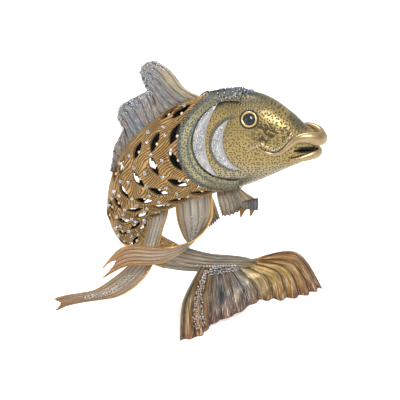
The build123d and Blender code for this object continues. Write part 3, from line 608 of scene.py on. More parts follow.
def fin_enamel(name, across_stops, tip_colour, tip_start, ribs, groove, streak, metallic=0.45,
               roughness=0.32, groove_share=0.85, streak_share=0.5, painted_glint_share=0.7):
    """Translucent enamel over ribbed metal: the ribs show pale, the grooves dark. Ramp stops run
    across the fin, a second colour streaks it and another takes over towards its tips."""
    material, tree = finish(name, metallic, roughness)
    along, across, _ = node(tree, "SeparateXYZ", node(tree, "TexCoord", out="UV"), out=None)
    wander = streaks(tree, 2.4, 18.0, 3.0)
    shift = node(tree, "Math", wander, 0.10, -0.05, operation="MULTIPLY_ADD")
    shifted = node(tree, "Math", across, shift, operation="ADD")
    base = node(tree, "ValToRGB", shifted, stops=across_stops)
    band = node(tree, "MapRange", streaks(tree, 1.6, 52.0, 2.0), 0.50, 0.62, 0.0, streak_share)
    tip = node(tree, "MapRange", along, tip_start, 1.0)
    tip = node(tree, "Math", tip, node(tree, "Math", wander, 0.35, operation="ADD"), operation="MULTIPLY")
    fine = streaks(tree, 4.8, 180.0, 4.0, 0.65)
    lines = node(tree, "MapRange", fine, 0.42, 0.52, 0.4, 1.0)
    turn = node(tree, "Math", across, ribs * 2 * math.pi, math.pi / 2, operation="MULTIPLY_ADD")
    crest = node(tree, "MapRange", node(tree, "Math", turn, operation="SINE"), -1.0, -0.35)
    ridge = node(tree, "Math", crest, 0.7, 0.3, operation="MULTIPLY_ADD")
    pale = node(tree, "Math", lines, ridge, operation="MULTIPLY")
    dark = node(tree, "MapRange", pale, 0.0, 1.0, groove_share, 0.0)
    # Painted highlight: pale glints where the fine streaks peak
    painted_glint = node(tree, "MapRange", fine, 0.56, 0.66, 0.0, painted_glint_share)
    colour = painted(tree, base, (band, streak), (tip, tip_colour), (dark, groove), (painted_glint, "#E9DCC2"))
    height = node(tree, "Math", crest, 0.5, fine, operation="MULTIPLY_ADD")
    surfaced(tree, colour, height, 0.6, 0.7)
    return material


def seat_matrix(point, along, normal):
    """A place on a surface: x along a direction, z out of the surface."""
    x = (along - normal * along.dot(normal)).normalized()
    y = normal.cross(x)
    matrix = Matrix((x, y, normal)).transposed().to_4x4()
    matrix.translation = point
    return matrix


def scattered(name, model, places):
    """One mesh with a copy of a model at each place. The model is removed."""
    build = bmesh.new()
    for place in places:
        copy = model.data.copy()
        copy.transform(place)
        build.from_mesh(copy)
        bpy.data.meshes.remove(copy)
    mesh = bpy.data.meshes.new(name)
    build.to_mesh(mesh)
    build.free()
    bpy.data.objects.remove(model)
    piece = bpy.data.objects.new(name, mesh)
    bpy.context.collection.objects.link(piece)
    return piece


def copies(name, model, places, angle, material, *nodes):
    """One smooth piece with a copy of a model at each place."""
    piece = scattered(name, model, places)
    rounded(piece, angle)
    joined(piece, material, *nodes)


def cut_stone(radius_mm, height_mm):
    """One cut stone with eight sides and a flat table, its base on the origin."""
    table_share = 0.55
    select_only()
    bpy.ops.mesh.primitive_cone_add(
        vertices=8, radius1=radius_mm * MM, radius2=radius_mm * table_share * MM,
        depth=height_mm * MM, location=(0, 0, height_mm / 2 * MM),
    )
    bpy.ops.object.transform_apply(location=True, rotation=True, scale=True)
    return named("cut_stone")


def set_stones(name, places, radius_mm, height_mm, material, *nodes, tilt=9.0):
    """A group of cut stones, each tipped a little so that they catch the light in turn."""
    dice = random.Random(len(places))
    tipped = []
    for place in places:
        for axis in ("X", "Y"):
            place = place @ Matrix.Rotation(math.radians(dice.uniform(-tilt, tilt)), 4, axis)
        tipped.append(place)
    joined(scattered(name, cut_stone(radius_mm, height_mm), tipped), material, *nodes)


def flank_place(p, z, side, lift):
    """A place for a stone on the flank, at a height in millimetres over the skin."""
    point, normal = flank(p, z, side)
    return seat_matrix(point + normal * lift * MM, AHEAD, normal)


def sheet_seat(place, along, across, lift):
    """A place for a stone on a sheet, on the side that looks to the viewer."""
    step = 0.004
    here = place(along, across)
    down = place(along + step, across) - here
    over = place(along, across + step) - here
    normal = down.cross(over).normalized()
    normal = normal if normal.y < 0 else -normal
    return seat_matrix(here + normal * lift * MM, down, normal)


def strip_places(place, run, rows, count, lift):
    """Places for stones in uneven rows along a sheet."""
    dice = random.Random(count)
    gap = (run[1] - run[0]) / count
    places = []
    for step in range(count):
        for row, across in enumerate(rows):
            along = run[0] + gap * (step + 0.5 * (row % 2) + dice.uniform(-0.3, 0.3))
            across += dice.uniform(-0.3, 0.3) * (rows[1] - rows[0])
            places.append(sheet_seat(place, along, min(max(across, 0.01), 0.98), lift))
    return places


def widening_places(place, middle, run, widths, steps, lift):
    """Places for stones in a band that widens from the root of a fin to its edge."""
    dice = random.Random(steps)
    places = []
    for step in range(steps):
        part = step / (steps - 1)
        along = run[0] + (run[1] - run[0]) * part
        width = widths[0] + (widths[1] - widths[0]) * part
        for share in (-0.5, -0.17, 0.17, 0.5):
            across = middle + width * (share + dice.uniform(-0.1, 0.1)) + 0.004 * (step % 2)
            places.append(sheet_seat(place, along + dice.uniform(-0.008, 0.008), across, lift))
    return places


def ring_share(base, angle):
    """A ring of piercings runs forward over the back and the belly."""
    return base + RING_BOW * ((angle - RING_MIDDLE) / RING_SPAN) ** 2


def ring_place(base, angle, side, lift=0.0):
    """A place on a ring: x along the ring, z out, with the girth there as a share."""
    share = ring_share(base, angle)
    step = 4.0
    ahead = skin(ring_share(base, angle + step), angle + step, side)
    behind = skin(ring_share(base, angle - step), angle - step, side)
    normal = skin_normal(share, angle, side)
    row = smooth_row(SPINE, share)
    point = skin(share, angle, side) + normal * lift * MM
    return seat_matrix(point, ahead - behind, normal), (row[2] + row[3]) / 2


def clear_of_head(base, angle, reach):
    """Whether a ring's place lies on the body, at least a reach behind the head joint."""
    point = skin_mm(SPINE, ring_share(base, angle), angle, -1, 0.0)
    gap = math.hypot(point.x - NECK_P, point.z - NECK_Z)
    return point.x < NECK_P - reach and gap > NECK_RADIUS + reach


def lens_cutter():
    """A prism with a lens outline, one unit long and wide, that flares a little outwards."""
    flare_share = 0.10
    select_only()
    bpy.ops.mesh.primitive_cylinder_add(vertices=20, radius=1, depth=2, location=(0, 0, 0))
    cutter = named("lens_cutter")
    for vertex in cutter.data.vertices:
        along, across, up = vertex.co
        bow = (1 - along * along) * (1 if across >= 0 else -1)
        vertex.co = (along / 2, bow / 2 * (1 + flare_share * up), up)
    return cutter


def piercing_seats(side, sizes):
    """Places of the piercings with their lengths and widths."""
    seats = []
    for base, angles in PIERCINGS:
        for angle in angles:
            seat, girth = ring_place(base, angle, side)
            length = sizes.piercing_length * girth
            width = sizes.piercing_width * girth
            if clear_of_head(base, angle, 0.35 * width / MM + 1.0):
                seats.append((seat, length, width))
    return seats


def pearl_places(seats, side, radius):
    """Balls in the edges of the piercings that look to the head."""
    head = from_fish(NECK_P, side * SHOULDER_THICKNESS / 2, NECK_Z)
    places = []
    for seat, _, width in seats:
        ahead = 1 if (head - seat.translation).dot(seat.col[1].to_3d()) > 0 else -1
        ball = Matrix.Translation((0.5 * MM, ahead * width * 0.42, 0.3 * MM)) @ Matrix.Scale(radius, 4)
        places.append(seat @ ball)
    return places


def cluster_places(side):
    """Places of the stone clusters, between piercings and between rings."""
    cup_lift, cup_reach = 0.3, 3.6
    places = []
    for ring, (base, angles) in enumerate(PIERCINGS):
        spots = [(base, (low + high) / 2) for low, high in zip(angles, angles[1:])]
        if ring:
            middle = (base + PIERCINGS[ring - 1][0]) / 2
            spots += [(middle, angle) for angle in angles]
        places += [ring_place(*spot, side, cup_lift)[0] for spot in spots
                   if clear_of_head(*spot, cup_reach)]
    return places


def rim_at(seats):
    """A function that gives the height of the piercings' rims at a point, as a share."""
    looked_up = [(seat.inverted(), length, width) for seat, length, width in seats]

    def rim(point):
        height = 0.0
        for back, length, width in looked_up:
            spot = back @ point
            run = 1 - (2 * spot.x / (1.3 * length)) ** 2
            if run > 0 and abs(spot.z) < 10 * MM and abs(spot.y) < 1.6 * width:
                off = abs(spot.y) / (width / 2) - run
                height = max(height, math.exp(-((off - 0.25) / 0.42) ** 2) * math.sqrt(run))
        return height

    return rim


def clear_head_joint(piece, side):
    """Takes away the faces under the head and points the rest outwards."""
    mesh = bmesh.new()
    mesh.from_mesh(piece.data)
    middle = from_fish(NECK_P, 0, NECK_Z)
    gone = []
    for face in mesh.faces:
        gap = face.calc_center_median() - middle
        flat = Vector((gap.dot(AHEAD), gap.z))
        if flat.length < (NECK_RADIUS - 1.5) * MM or flat.x > 0:
            gone.append(face)
    bmesh.ops.delete(mesh, geom=gone, context="FACES")
    mesh.faces.ensure_lookup_table()
    sample = mesh.faces[len(mesh.faces) // 2]
    if sample.normal.dot(LEFTWARD * side) < 0:
        bmesh.ops.reverse_faces(mesh, faces=mesh.faces[:])
    mesh.to_mesh(piece.data)
    mesh.free()


def openwork_half(side, sizes, material, inner_material, name, node_name):
    """One pierced half of the scale body, with a raised rim round each piercing."""
    body_share, cutter_reach = 0.66, 4 * MM
    seats = piercing_seats(side, sizes)
    rim = rim_at(seats)
    piece = grid_piece(name, 110, 220, lambda along, round_it: skin(along * body_share,
                                                                    round_it * 180, side))
    clear_head_joint(piece, side)
    normals = [vertex.normal.copy() for vertex in piece.data.vertices]
    nearest = kdtree.KDTree(len(normals))
    for index, vertex in enumerate(piece.data.vertices):
        nearest.insert(vertex.co, index)
    nearest.balance()
    # The inner walls take the second, nearly black material: painted shade inside the hollow body
    piece.data.materials.clear()
    piece.data.materials.append(material)
    piece.data.materials.append(inner_material)
    apply_modifier(piece, "SOLIDIFY", thickness=sizes.wall, offset=-1, material_offset=1)
    # Neighbouring cutters meet inside the bend, so they cut in two rounds
    for first in (0, 1):
        places = [seat @ Matrix.Diagonal((length, width, cutter_reach, 1))
                  for seat, length, width in seats[first::2]]
        cutters = scattered(name + "_cutters", lens_cutter(), places)
        apply_modifier(piece, "BOOLEAN", object=cutters, operation="DIFFERENCE", solver="EXACT")
        bpy.data.objects.remove(cutters)
    for vertex in piece.data.vertices:
        height = rim(vertex.co)
        if height > 0:
            vertex.co += normals[nearest.find(vertex.co)[1]] * sizes.rim_height * height
    rounded(piece, 35)
    joined(piece, None, node_name)


def fin_piece(name, rows, columns, place, ribs, depth_mm, thickness_mm, material, *nodes,
              scallop=0.0, fine=0.0, fork=0.0, rim_mm=0.0):
    """A thin ribbed fin: ribs run from its root to its edge, which is scalloped or forked."""
    step, edge_start = 0.004, 0.72

    def shaped(along, across):
        wave = math.cos(2 * math.pi * ribs * across)
        small = math.cos(2 * math.pi * ribs * 3.7 * across + 1.0 + 2.0 * math.sin(9.0 * across))
        edge = min(max((along - edge_start) / (1 - edge_start), 0.0), 1.0)
        notch = fork * (1 - abs(2 * across - 1)) ** 0.8 * edge ** 2
        reach = along * (1 - scallop * (1 - wave) / 2 * edge) - notch
        here = place(reach, across)
        down = place(min(reach + step, 1.0), across) - place(reach - step, across)
        over = place(reach, min(across + step, 1.0)) - place(reach, max(across - step, 0.0))
        fade = min(1.0, 0.25 + along * 1.2)
        rim = rim_mm * abs(2 * across - 1) ** 8
        height = (wave + fine * small) * depth_mm * fade + rim
        return here + down.cross(over).normalized() * height * MM

    sheet_piece(grid_piece(name, rows, columns, shaped), thickness_mm, 60, material, *nodes)


def dorsal_point(along, across):
    """A point of the back fin's own plane, from its root to the tips of its rays."""
    front, rear, sunk_mm = 0.572, 0.325, 1.0
    root = skin_mm(SPINE, front + (rear - front) * across, 0, 0, -sunk_mm)
    tip_p, tip_z = smooth_row(DORSAL_TIPS, across)
    root = Vector((root.x, root.z))
    chord = Vector((tip_p * BODY_REACH, tip_z * HEAD_HEIGHT)) - root
    lift = -2.8 * math.sin(2 * math.pi * along) * (1 - across) ** 3
    lift += 16 * along * (1 - along) * across * (1 - across)
    point = root + chord * along + Vector((chord.y, -chord.x)).normalized() * lift
    return from_fish(point.x, 0, point.y)


def crescent_spot(crescent, turn, across):
    """A place on a crescent that tapers to both ends, with its lift and width in millimetres."""
    centre, radius, start, end, widest = crescent
    part = min(max((turn - start) / (end - start), 0.0), 1.0)
    width = max(widest * math.sin(math.pi * part) ** 0.7, 0.3)
    reach = radius - across * width
    p = centre[0] + reach * math.cos(math.radians(turn))
    z = centre[1] + reach * math.sin(math.radians(turn))
    bow = abs(math.sin(math.pi * across)) ** 0.6 * min(1.0, width / 3)
    return p, z, 0.25 + 1.1 * bow, width


def paved_crescent(word, side, crescent, pitch, plate, stones, plate_node, stone_node):
    """A domed crescent plate, set all over with small stones."""
    _, radius, start, end, _ = crescent
    edge, row_pitch = 0.8, 0.9 * pitch

    def place(along, across):
        p, z, lift, _ = crescent_spot(crescent, start + along * (end - start), across)
        return flank_place(p, z, side, lift).translation

    sheet_piece(grid_piece(f"{word}_plate", 10, 72, place), 0.5, 50, plate, plate_node)
    places = []
    count = int(radius * math.radians(end - start) / pitch)
    for step in range(count + 1):
        turn = start + (end - start) * step / count
        width = crescent_spot(crescent, turn, 0.5)[3]
        for row in range(int((width - 1.0) / row_pitch)):
            shift = 0.5 * (row % 2) * (end - start) / count
            p, z, lift, _ = crescent_spot(crescent, turn + shift, (edge + row * row_pitch) / width)
            places.append(flank_place(p, z, side, lift + 0.15))
    set_stones(f"{word}_stones", places, 0.68, 0.6, stones, stone_node, tilt=14.0)


def crown_places():
    """Places for stones over the top of the head: dense behind, fewer to the front."""
    dice = random.Random(11)
    steps, rows, half_angle = 17, 10, 33.0
    collar_end, on_collar, on_head = 0.664, 1.6, 0.3
    places = []
    for step in range(steps):
        for row in range(rows):
            share = 0.606 + 0.088 * (step + dice.uniform(-0.4, 0.4)) / (steps - 1)
            angle = half_angle * (2 * (row + dice.uniform(-0.4, 0.4)) / (rows - 1) - 1)
            side = -1 if angle < 0 else 1
            angle = abs(angle)
            point = skin(share, angle, side, on_collar if share < collar_end else on_head)
            if angle < half_angle * (1.1 - 0.7 * step / (steps - 1)):
                along = skin(share + 0.01, angle, side) - point
                places.append(seat_matrix(point, along, skin_normal(share, angle, side)))
    return places


class CarpSizes(bpy.types.PropertyGroup):
    """Sizes that a user would change."""

    wall: bpy.props.FloatProperty(
        name="Shell wall", description="Thickness of the pierced shell", default=0.002,
        unit="LENGTH")
    piercing_length: bpy.props.FloatProperty(
        name="Piercing length", description="Length of a piercing at the shoulder",
        default=0.0215, unit="LENGTH")
    piercing_width: bpy.props.FloatProperty(
        name="Piercing width", description="Width of a piercing at the shoulder",
        default=0.0082, unit="LENGTH")
    rim_height: bpy.props.FloatProperty(
        name="Rim height", description="Height of the rim round a piercing", default=0.0016,
        unit="LENGTH")
    pearl_radius: bpy.props.FloatProperty(
        name="Pearl radius", description="Radius of the pearls in the piercings", default=0.0014,
        unit="LENGTH")
    pave_pitch: bpy.props.FloatProperty(
        name="Stone pitch", description="Distance between set stones on the gill plates",
        default=0.0016, unit="LENGTH")
    fin_ribs: bpy.props.IntProperty(
        name="Tail ribs", description="Number of ribs across the tail fin", default=13)


class CarpColours(bpy.types.PropertyGroup):
    """Colours that a user would change."""

    clear_stone: bpy.props.FloatVectorProperty(
        name="Clear stones", description="Colour of the clear stones", size=4, subtype="COLOR",
        default=linear("#F4F4F6"))
    blue_stone: bpy.props.FloatVectorProperty(
        name="Blue stones", description="Colour of the blue-grey stones", size=4, subtype="COLOR",
        default=linear("#5E7084"))
    honey_stone: bpy.props.FloatVectorProperty(
        name="Honey stones", description="Colour of the honey stones", size=4, subtype="COLOR",
        default=linear("#D9BE8C"))
    floor: bpy.props.FloatVectorProperty(
        name="Floor", description="Colour of the floor", size=4, subtype="COLOR",
        default=linear("#F4F4F4"))


class CARP_OT_body(bpy.types.Operator):
    """Pierced scale body with its pearls, cups and crystals"""

    bl_idname = "carp.body"
    bl_label = "Body"

    def execute(self, context):
        sizes, colours = context.scene.carp_sizes, context.scene.carp_colours
        bronze, inside = engraved_bronze(), dark_inside()
        silver, pearl = cup_silver(), pearl_glaze()
        clear = stone_glass("clear_cut_glass", colours.clear_stone, depth="#1E222B")
        for side, word in ((-1, "right"), (1, "left")):
            openwork_half(side, sizes, bronze, inside, f"scale_body_{word}", f"body_shell_{word}")
            places = cluster_places(side)
            select_only()
            bpy.ops.mesh.primitive_cone_add(vertices=14, radius1=1.7 * MM, radius2=1.3 * MM,
                                            depth=1.0 * MM)
            copies(f"stone_cups_{word}", named("cup"), places, 30, silver, f"crystal_cups_{word}")
            stones = [
                place @ Matrix.Rotation(math.radians(90 * turn + 20), 4, "Z")
                @ Matrix.Translation((0.95 * MM, 0, 0.45 * MM))
                for place in places for turn in range(4)
            ]
            set_stones(f"scale_stones_{word}", stones, 0.86, 0.8, clear, f"scale_crystals_{word}",
                       tilt=16.0)
            select_only()
            bpy.ops.mesh.primitive_uv_sphere_add(segments=20, ring_count=12, radius=1.0)
            balls = pearl_places(piercing_seats(side, sizes), side, sizes.pearl_radius)
            copies(f"pearls_in_rims_{word}", named("pearl"), balls, 60, pearl, f"pearls_{word}")
        # The neck band takes the same nearly black painted shade
        dress("neck_band", inside)
        return {"FINISHED"}


class CARP_OT_head(bpy.types.Operator):
    """Head shell, gill collars, gill covers, cheek plates and the stones on the crown"""

    bl_idname = "carp.head"
    bl_label = "Head"

    def execute(self, context):
        colours = context.scene.carp_colours
        dress("head_shell", antique_gold())
        collar, plate = collar_enamel("blue_grey_collar_enamel"), plate_enamel()
        clear = stone_glass("pave_glass", colours.clear_stone)
        blue = stone_glass("blue_grey_glass", colours.blue_stone, metallic=0.5, depth="#151A22")
        pitch = context.scene.carp_sizes.pave_pitch / MM
        bead_ring, bead_count, bead_lift = NECK_RADIUS + 1.3, 62, 1.8
        for side, word in ((-1, "right"), (1, "left")):
            dress(f"gill_collar_{word}", collar)
            paved_crescent(f"gill_{word}", side, GILL_CRESCENT, pitch, plate, clear,
                           f"gill_cover_{word}", f"gill_crystals_{word}")
            paved_crescent(f"cheek_{word}", side, CHEEK_CRESCENT, pitch, plate, clear,
                           f"cheek_plate_{word}", f"cheek_crystals_{word}")
            beads = []
            for step in range(bead_count):
                turn = math.radians(98.0 + 160.0 * step / (bead_count - 1))
                p, z = NECK_P + bead_ring * math.cos(turn), NECK_Z + bead_ring * math.sin(turn)
                beads.append(flank_place(p, z, side, bead_lift))
            select_only()
            bpy.ops.mesh.primitive_ico_sphere_add(subdivisions=2, radius=0.8 * MM)
            copies(f"collar_beads_{word}", named("bead"), beads, 60, collar)
        set_stones("crown_stones", crown_places(), 0.95, 0.9, blue, "crown_crystals", tilt=18.0)
        return {"FINISHED"}


class CARP_OT_eyes(bpy.types.Operator):
    """Eye stones, their gold rings and the dark line round them"""

    bl_idname = "carp.eyes"
    bl_label = "Eyes"

    def execute(self, context):
        gold = polished_gold("polished_champagne_gold", "#B89A5E", "#E0C892", 0.22)
        stone = stone_glass("dark_blue_cut_glass", "#1B2436", 0.08, 0.0, "#070A12", 0.35)
        line = dark_inside()
        for side, word in ((-1, "right"), (1, "left")):
            seat = flank_place(*EYE, side, 0.0)
            for name, radius, thick, rise, material, nodes in (
                ("eye_ring", 5.75, 1.0, 0.7, gold, (f"eye_bezel_{word}",)),
                ("eye_line", 7.3, 0.75, 0.0, line, ()),
            ):
                select_only()
                bpy.ops.mesh.primitive_torus_add(
                    major_segments=64, minor_segments=16, major_radius=radius * MM,
                    minor_radius=thick * MM)
                copies(f"{name}_{word}", named("ring"),
                       [seat @ Matrix.Translation((0, 0, rise * MM))], 60, material, *nodes)
            select_only()
            bpy.ops.mesh.primitive_uv_sphere_add(segments=14, ring_count=10, radius=1.0)
            for vertex in bpy.context.object.data.vertices:
                vertex.co.z = max(vertex.co.z, 0.0)
            dome = scattered(f"faceted_eye_{word}", named("dome"),
                             [seat @ Matrix.Translation((0, 0, -0.2 * MM))
                              @ Matrix.Diagonal((5.2 * MM, 5.2 * MM, 3.0 * MM, 1))])
            outward(dome)
            joined(dome, stone, f"eye_stone_{word}")
        return {"FINISHED"}


class CARP_OT_lips(bpy.types.Operator):
    """Gold lips, and the enamel strip with its stones above them"""

    bl_idname = "carp.lips"
    bl_label = "Lips"

    def execute(self, context):
        gold = polished_gold("polished_warm_gold", "#7C684A", "#BCA680", 0.27)
        dress("upper_lip", gold)
        dress("lower_lip", gold)
        enamel = collar_enamel("blue_strip_enamel")
        clear = stone_glass("strip_glass", context.scene.carp_colours.clear_stone)
        stone_count = 18
        for side, word in ((-1, "right"), (1, "left")):
            def place(along, across, side=side):
                p, z = smooth_row(LIP_LINE, along)
                bow = math.sin(math.pi * across) * math.sin(math.pi * min(1, along * 8, (1 - along) * 8) / 2)
                return flank_place(p - (across - 0.5) * 1.2, z + (across - 0.5) * 4.2, side,
                                   0.1 + 0.8 * bow).translation

            sheet_piece(grid_piece(f"lip_strip_{word}", 8, 48, place), 0.4, 50, enamel)
            places = []
            for step in range(stone_count):
                p, z = smooth_row(LIP_LINE, 0.03 + 0.94 * step / (stone_count - 1))
                places.append(flank_place(p, z, side, 1.0))
            set_stones(f"lip_stones_{word}", places, 0.75, 0.7, clear, f"lip_crystals_{word}")
        return {"FINISHED"}


class CARP_OT_dorsal(bpy.types.Operator):
    """Back fin with ribbed rays and stones at its tips"""

    bl_idname = "carp.dorsal"
    bl_label = "Back fin"

    def execute(self, context):
        colours = context.scene.carp_colours
        stops = ((0.0, "#CFC2A6"), (0.06, "#B0A286"), (0.12, "#7E8486"), (0.35, "#928F8B"),
                 (0.55, "#79818C"), (0.8, "#877E75"), (1.0, "#68768A"))
        ribs = 17
        enamel = fin_enamel("silver_blue_fin_enamel", stops, "#8E959E", 0.6, ribs, "#33383F", "#B08058")
        fin_piece("back_fin", 40, 220, dorsal_point, ribs, 0.7, 1.5, enamel, "dorsal_fin",
                  scallop=0.035, fine=0.3)
        dice = random.Random(4)
        steps = 78
        groups = {"clear": [], "blue": [], "honey": []}
        for step in range(steps):
            across = step / (steps - 1)
            for row in range(4 if across < 0.75 else 2):
                along = 0.935 - row * (0.055 + 0.02 * dice.random())
                jitter = across + (dice.random() - 0.5) * 0.008
                here = dorsal_point(along, min(max(jitter, 0.0), 1.0))
                for side in (-1, 1):
                    out = LEFTWARD * side
                    seat = seat_matrix(here + out * 1.0 * MM, Vector((0, 0, 1)), out)
                    kind = dice.choice(("clear", "clear", "blue", "honey"))
                    if dice.random() < 0.86 - 0.12 * row:
                        groups[kind].append(seat)
        for kind, tint, nodes in (
            ("clear", colours.clear_stone, ("dorsal_crystals",)),
            ("blue", colours.blue_stone, ()), ("honey", colours.honey_stone, ()),
        ):
            glass = stone_glass(f"fin_{kind}_glass", tint)
            set_stones(f"back_fin_{kind}_stones", groups[kind], 0.72, 0.55, glass, *nodes)
        return {"FINISHED"}


class CARP_OT_ribbons(bpy.types.Operator):
    """Two long twisted belly fins with gold edges and stones"""

    bl_idname = "carp.ribbons"
    bl_label = "Belly ribbons"

    def execute(self, context):
        stops = ((0.0, "#DDB464"), (0.09, "#C49C56"), (0.17, "#A0978A"), (0.5, "#C4BEB2"),
                 (0.83, "#A0978A"), (0.91, "#C49C56"), (1.0, "#DDB464"))
        ribs = 6
        enamel = fin_enamel("grey_beige_ribbon_enamel", stops, "#B07840", 0.3, ribs, "#3E3226", "#C8A272",
                            painted_glint_share=0.8)
        clear = stone_glass("ribbon_glass", context.scene.carp_colours.clear_stone)
        for name, root, length, depth, table, run in (
            ("front_ribbon", skin(0.512, 180), 76.0, 42.0, FRONT_RIBBON, (0.12, 0.46)),
            ("rear_ribbon", skin(0.337, 180), 90.0, 44.0, REAR_RIBBON, (0.50, 0.76)),
        ):
            place = hanging(root, (length, depth, root.z / MM), table)
            fin_piece(name, 170, 48, place, ribs, 0.24, 1.35, enamel, name + "_fin", fork=0.085,
                      rim_mm=0.25)
            places = strip_places(place, run, (0.36, 0.46, 0.56), 17, 1.0)
            set_stones(name + "_stones", places, 0.68, 0.55, clear, name + "_crystals")
        return {"FINISHED"}


class CARP_OT_pectorals(bpy.types.Operator):
    """Side fins under the gills, the left one with a curled end and two pointed tips"""

    bl_idname = "carp.pectorals"
    bl_label = "Side fins"

    def execute(self, context):
        stops = ((0.0, "#A79E8C"), (0.3, "#B4A892"), (0.55, "#8C877E"), (0.8, "#A69B86"), (1.0, "#BFA97E"))
        ribs = 9
        enamel = fin_enamel("grey_peach_side_fin_enamel", stops, "#6B4A34", 0.6, ribs, "#33313A", "#B88E68")
        for word, root, table in (("left", skin(0.596, 180), LEFT_PECTORAL),
                                  ("right", skin(0.552, 150), RIGHT_PECTORAL)):
            fin_piece(f"{word}_side_fin", 40, 90, crossed(hanging(root, PECTORAL_SIZES, table)), ribs,
                      0.3, 1.2, enamel, f"pectoral_fin_{word}", scallop=0.10)
        stops = ((0.0, "#8A8270"), (0.5, "#454A58"), (1.0, "#5A5E68"))
        stripes = 6
        dark = fin_enamel("navy_striped_side_fin_enamel", stops, "#3A3F4A", 0.4, stripes, "#0E111A",
                          "#B0A288", groove_share=1.0, painted_glint_share=0.4)
        start, end = Vector((43.0, 0.0, 98.8)) * MM, Vector((56.6, -1.0, 100.4)) * MM

        first_angle, sweep, near_radius, widening = 100.0, 230.0, 2.6, 2.8

        def curl(along, across):
            turn = math.radians(first_angle + sweep * along)
            radius = (near_radius + widening * across) * MM
            return start.lerp(end, across) + Vector((0.0, math.cos(turn), math.sin(turn))) * radius

        fin_piece("left_side_fin_curl", 24, 60, curl, stripes, 0.25, 0.9, dark)
        select_only()
        bpy.ops.mesh.primitive_cone_add(vertices=12, radius1=3.0 * MM, radius2=0.4 * MM, depth=9.0 * MM,
                                        rotation=(math.pi, 0, 0))
        bpy.ops.object.transform_apply(location=True, rotation=True, scale=True)
        tips = [
            Matrix.Translation(Vector(spot) * MM) @ Matrix.Rotation(math.radians(12.0), 4, "Y")
            @ Matrix.Diagonal((1.0, 0.5, 1.0, 1.0)) for spot in ((43.2, 1.0, 91.4), (51.4, 0.4, 92.6))
        ]
        copies("left_side_fin_tips", named("tip"), tips, 50,
               polished_gold("rust_brown_fin_tips", "#5C4028", "#8E6844", 0.45))
        return {"FINISHED"}


class CARP_OT_tail(bpy.types.Operator):
    """Tail stem and the flared tail fin with its bands of stones"""

    bl_idname = "carp.tail"
    bl_label = "Tail"

    def execute(self, context):
        grooves, ribs = 14, context.scene.carp_sizes.fin_ribs

        def stem_place(along, round_it):
            wave = 0.3 * math.cos(2 * math.pi * grooves * round_it) * min(1, along * 6)
            taper = 2.0 * max(0.0, (along - 0.8) / 0.2) ** 2
            return skin(along, 360 * round_it, -1, wave - 0.3 - taper, STEM)

        stem = grid_piece("tail_stem_casting", 112, 70, stem_place)
        outward(stem)
        mesh = bmesh.new()
        mesh.from_mesh(stem.data)
        bmesh.ops.holes_fill(mesh, edges=mesh.edges)
        bmesh.ops.recalc_face_normals(mesh, faces=mesh.faces)
        mesh.to_mesh(stem.data)
        mesh.free()
        rounded(stem, 50)
        stops = ((0.0, "#8A8274"), (0.25, "#A0957F"), (0.5, "#77746C"), (0.75, "#988A70"), (1.0, "#8A8274"))
        joined(stem, fin_enamel("grey_taupe_stem_enamel", stops, "#A08A60", 0.72, grooves, "#2C2925",
                                "#A88868"), "tail_stem")
        clear = stone_glass("tail_glass", context.scene.carp_colours.clear_stone)
        root = from_fish(0.506 * BODY_REACH, 0, 0.244 * HEAD_HEIGHT)
        tail = hanging(root, (121.0, 78.4, root.z / MM), TAIL)
        rays = crossed(tail)
        stops = ((0.0, "#A69E8A"), (0.05, "#9A895F"), (0.10, "#9C7442"), (0.19, "#A57A46"),
                 (0.27, "#7C7064"), (0.34, "#5C6672"), (0.42, "#857C70"), (0.50, "#60676F"),
                 (0.58, "#9E8C6C"), (0.66, "#B49658"), (0.78, "#B08C4C"), (0.88, "#A0763E"),
                 (1.0, "#8A5A2E"))
        enamel = fin_enamel("gold_slate_rust_tail_enamel", stops, "#6E4020", 0.5, ribs, "#1A120C",
                            "#C8A47A", metallic=0.55, roughness=0.28, groove_share=0.95,
                            streak_share=0.45, painted_glint_share=0.9)
        fin_piece("tail_fin_casting", 64, 420, rays, ribs, 0.9, 1.3, enamel, "tail_fin", scallop=0.05,
                  fine=0.75)
        places = widening_places(rays, 0.15, (0.16, 0.84), (0.05, 0.085), 24, 1.5)
        places += strip_places(tail, (0.20, 0.62), (0.10, 0.14, 0.18, 0.22), 20, 1.5)
        set_stones("tail_band_stones", places, 0.75, 0.6, clear, "tail_crystals")
        dress("stem_crystals", clear)
        return {"FINISHED"}


def seen_directly(tree):
    """One where the camera, a reflection or a refraction meets the surface."""
    path = node(tree, "LightPath", out=None)
    seen = node(tree, "Math", path["Is Camera Ray"], path["Is Glossy Ray"], operation="MAXIMUM")
    return node(tree, "Math", seen, path["Is Transmission Ray"], operation="MAXIMUM")


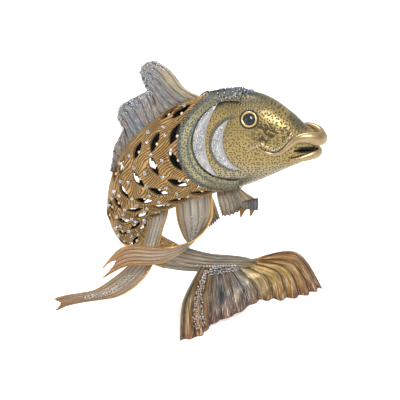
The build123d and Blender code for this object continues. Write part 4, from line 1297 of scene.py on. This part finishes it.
class CARP_OT_stage(bpy.types.Operator):
    """Pale floor, soft lamps and the camera"""

    bl_idname = "carp.stage"
    bl_label = "Stage"

    def execute(self, context):
        floor_size, floor_glow, sky_light = 8, 0.62, 0.44
        select_only()
        bpy.ops.mesh.primitive_plane_add(size=floor_size, location=(0, 0, -FLOOR_CLEARANCE * MM))
        floor = named("studio_floor")
        material, tree = finish("matt_white_floor", 0.0, 0.9)
        glow = node(tree, "Math", seen_directly(tree), floor_glow, operation="MULTIPLY")
        shader = tree.nodes["Principled BSDF"]
        shader.inputs["Base Color"].default_value = context.scene.carp_colours.floor
        shader.inputs["Emission Color"].default_value = (1, 1, 1, 1)
        shader.inputs["Specular IOR Level"].default_value = 0.0
        tree.links.new(glow, shader.inputs["Emission Strength"])
        floor.data.materials.append(material)
        world = bpy.data.worlds.new("studio_world")
        context.scene.world = world
        world.use_nodes = True
        tree = world.node_tree
        strength = node(tree, "MapRange", seen_directly(tree), 0.0, 1.0, sky_light, 1.0)
        background = tree.nodes["Background"]
        background.inputs["Color"].default_value = (1, 1, 1, 1)
        tree.links.new(strength, background.inputs["Strength"])
        for name, place, size, power in LAMPS:
            select_only()
            bpy.ops.object.light_add(type="AREA", location=place)
            lamp = bpy.context.object
            lamp.name = name
            lamp.data.size = size
            lamp.data.energy = power
            lamp.rotation_euler = (Vector(LAMP_AIM) - Vector(place)).to_track_quat("-Z", "Y").to_euler()
        back = Vector((0.0, -math.cos(CAMERA_TILT), math.sin(CAMERA_TILT)))
        bpy.ops.object.camera_add(location=Vector(CAMERA_TARGET) + back * CAMERA_DISTANCE)
        camera = bpy.context.object
        camera.rotation_euler = (-back).to_track_quat("-Z", "Y").to_euler()
        camera.data.sensor_width = SENSOR_WIDTH
        camera.data.lens = SENSOR_WIDTH * CAMERA_DISTANCE / PICTURE_WIDTH
        camera.data.clip_end = 20.0
        context.scene.camera = camera
        context.scene.view_settings.view_transform = "Standard"
        return {"FINISHED"}


class CARP_PT_panel(bpy.types.Panel):
    """Sizes, colours and pieces of the carp"""

    bl_label = "Carp"
    bl_idname = "CARP_PT_panel"
    bl_space_type = "VIEW_3D"
    bl_region_type = "UI"
    bl_category = "Carp"

    def draw(self, context):
        for group in (context.scene.carp_sizes, context.scene.carp_colours):
            for key in group.__annotations__:
                self.layout.prop(group, key)
        for operator in OPERATORS:
            self.layout.operator(operator.bl_idname)


OPERATORS = (CARP_OT_body, CARP_OT_head, CARP_OT_eyes, CARP_OT_lips, CARP_OT_dorsal,
             CARP_OT_ribbons, CARP_OT_pectorals, CARP_OT_tail, CARP_OT_stage)
CLASSES = (CarpSizes, CarpColours, *OPERATORS, CARP_PT_panel)


def register():
    """Registers the classes and the scene's properties."""
    for item in CLASSES:
        bpy.utils.register_class(item)
    bpy.types.Scene.carp_sizes = bpy.props.PointerProperty(type=CarpSizes)
    bpy.types.Scene.carp_colours = bpy.props.PointerProperty(type=CarpColours)


def unregister():
    """Removes the scene's properties and the classes."""
    del bpy.types.Scene.carp_colours
    del bpy.types.Scene.carp_sizes
    for item in reversed(CLASSES):
        bpy.utils.unregister_class(item)


def main():
    """Builds every piece in order."""
    register()
    for operator in OPERATORS:
        group, name = operator.bl_idname.split(".")
        getattr(getattr(bpy.ops, group), name)()


if __name__ == "__main__":
    main()
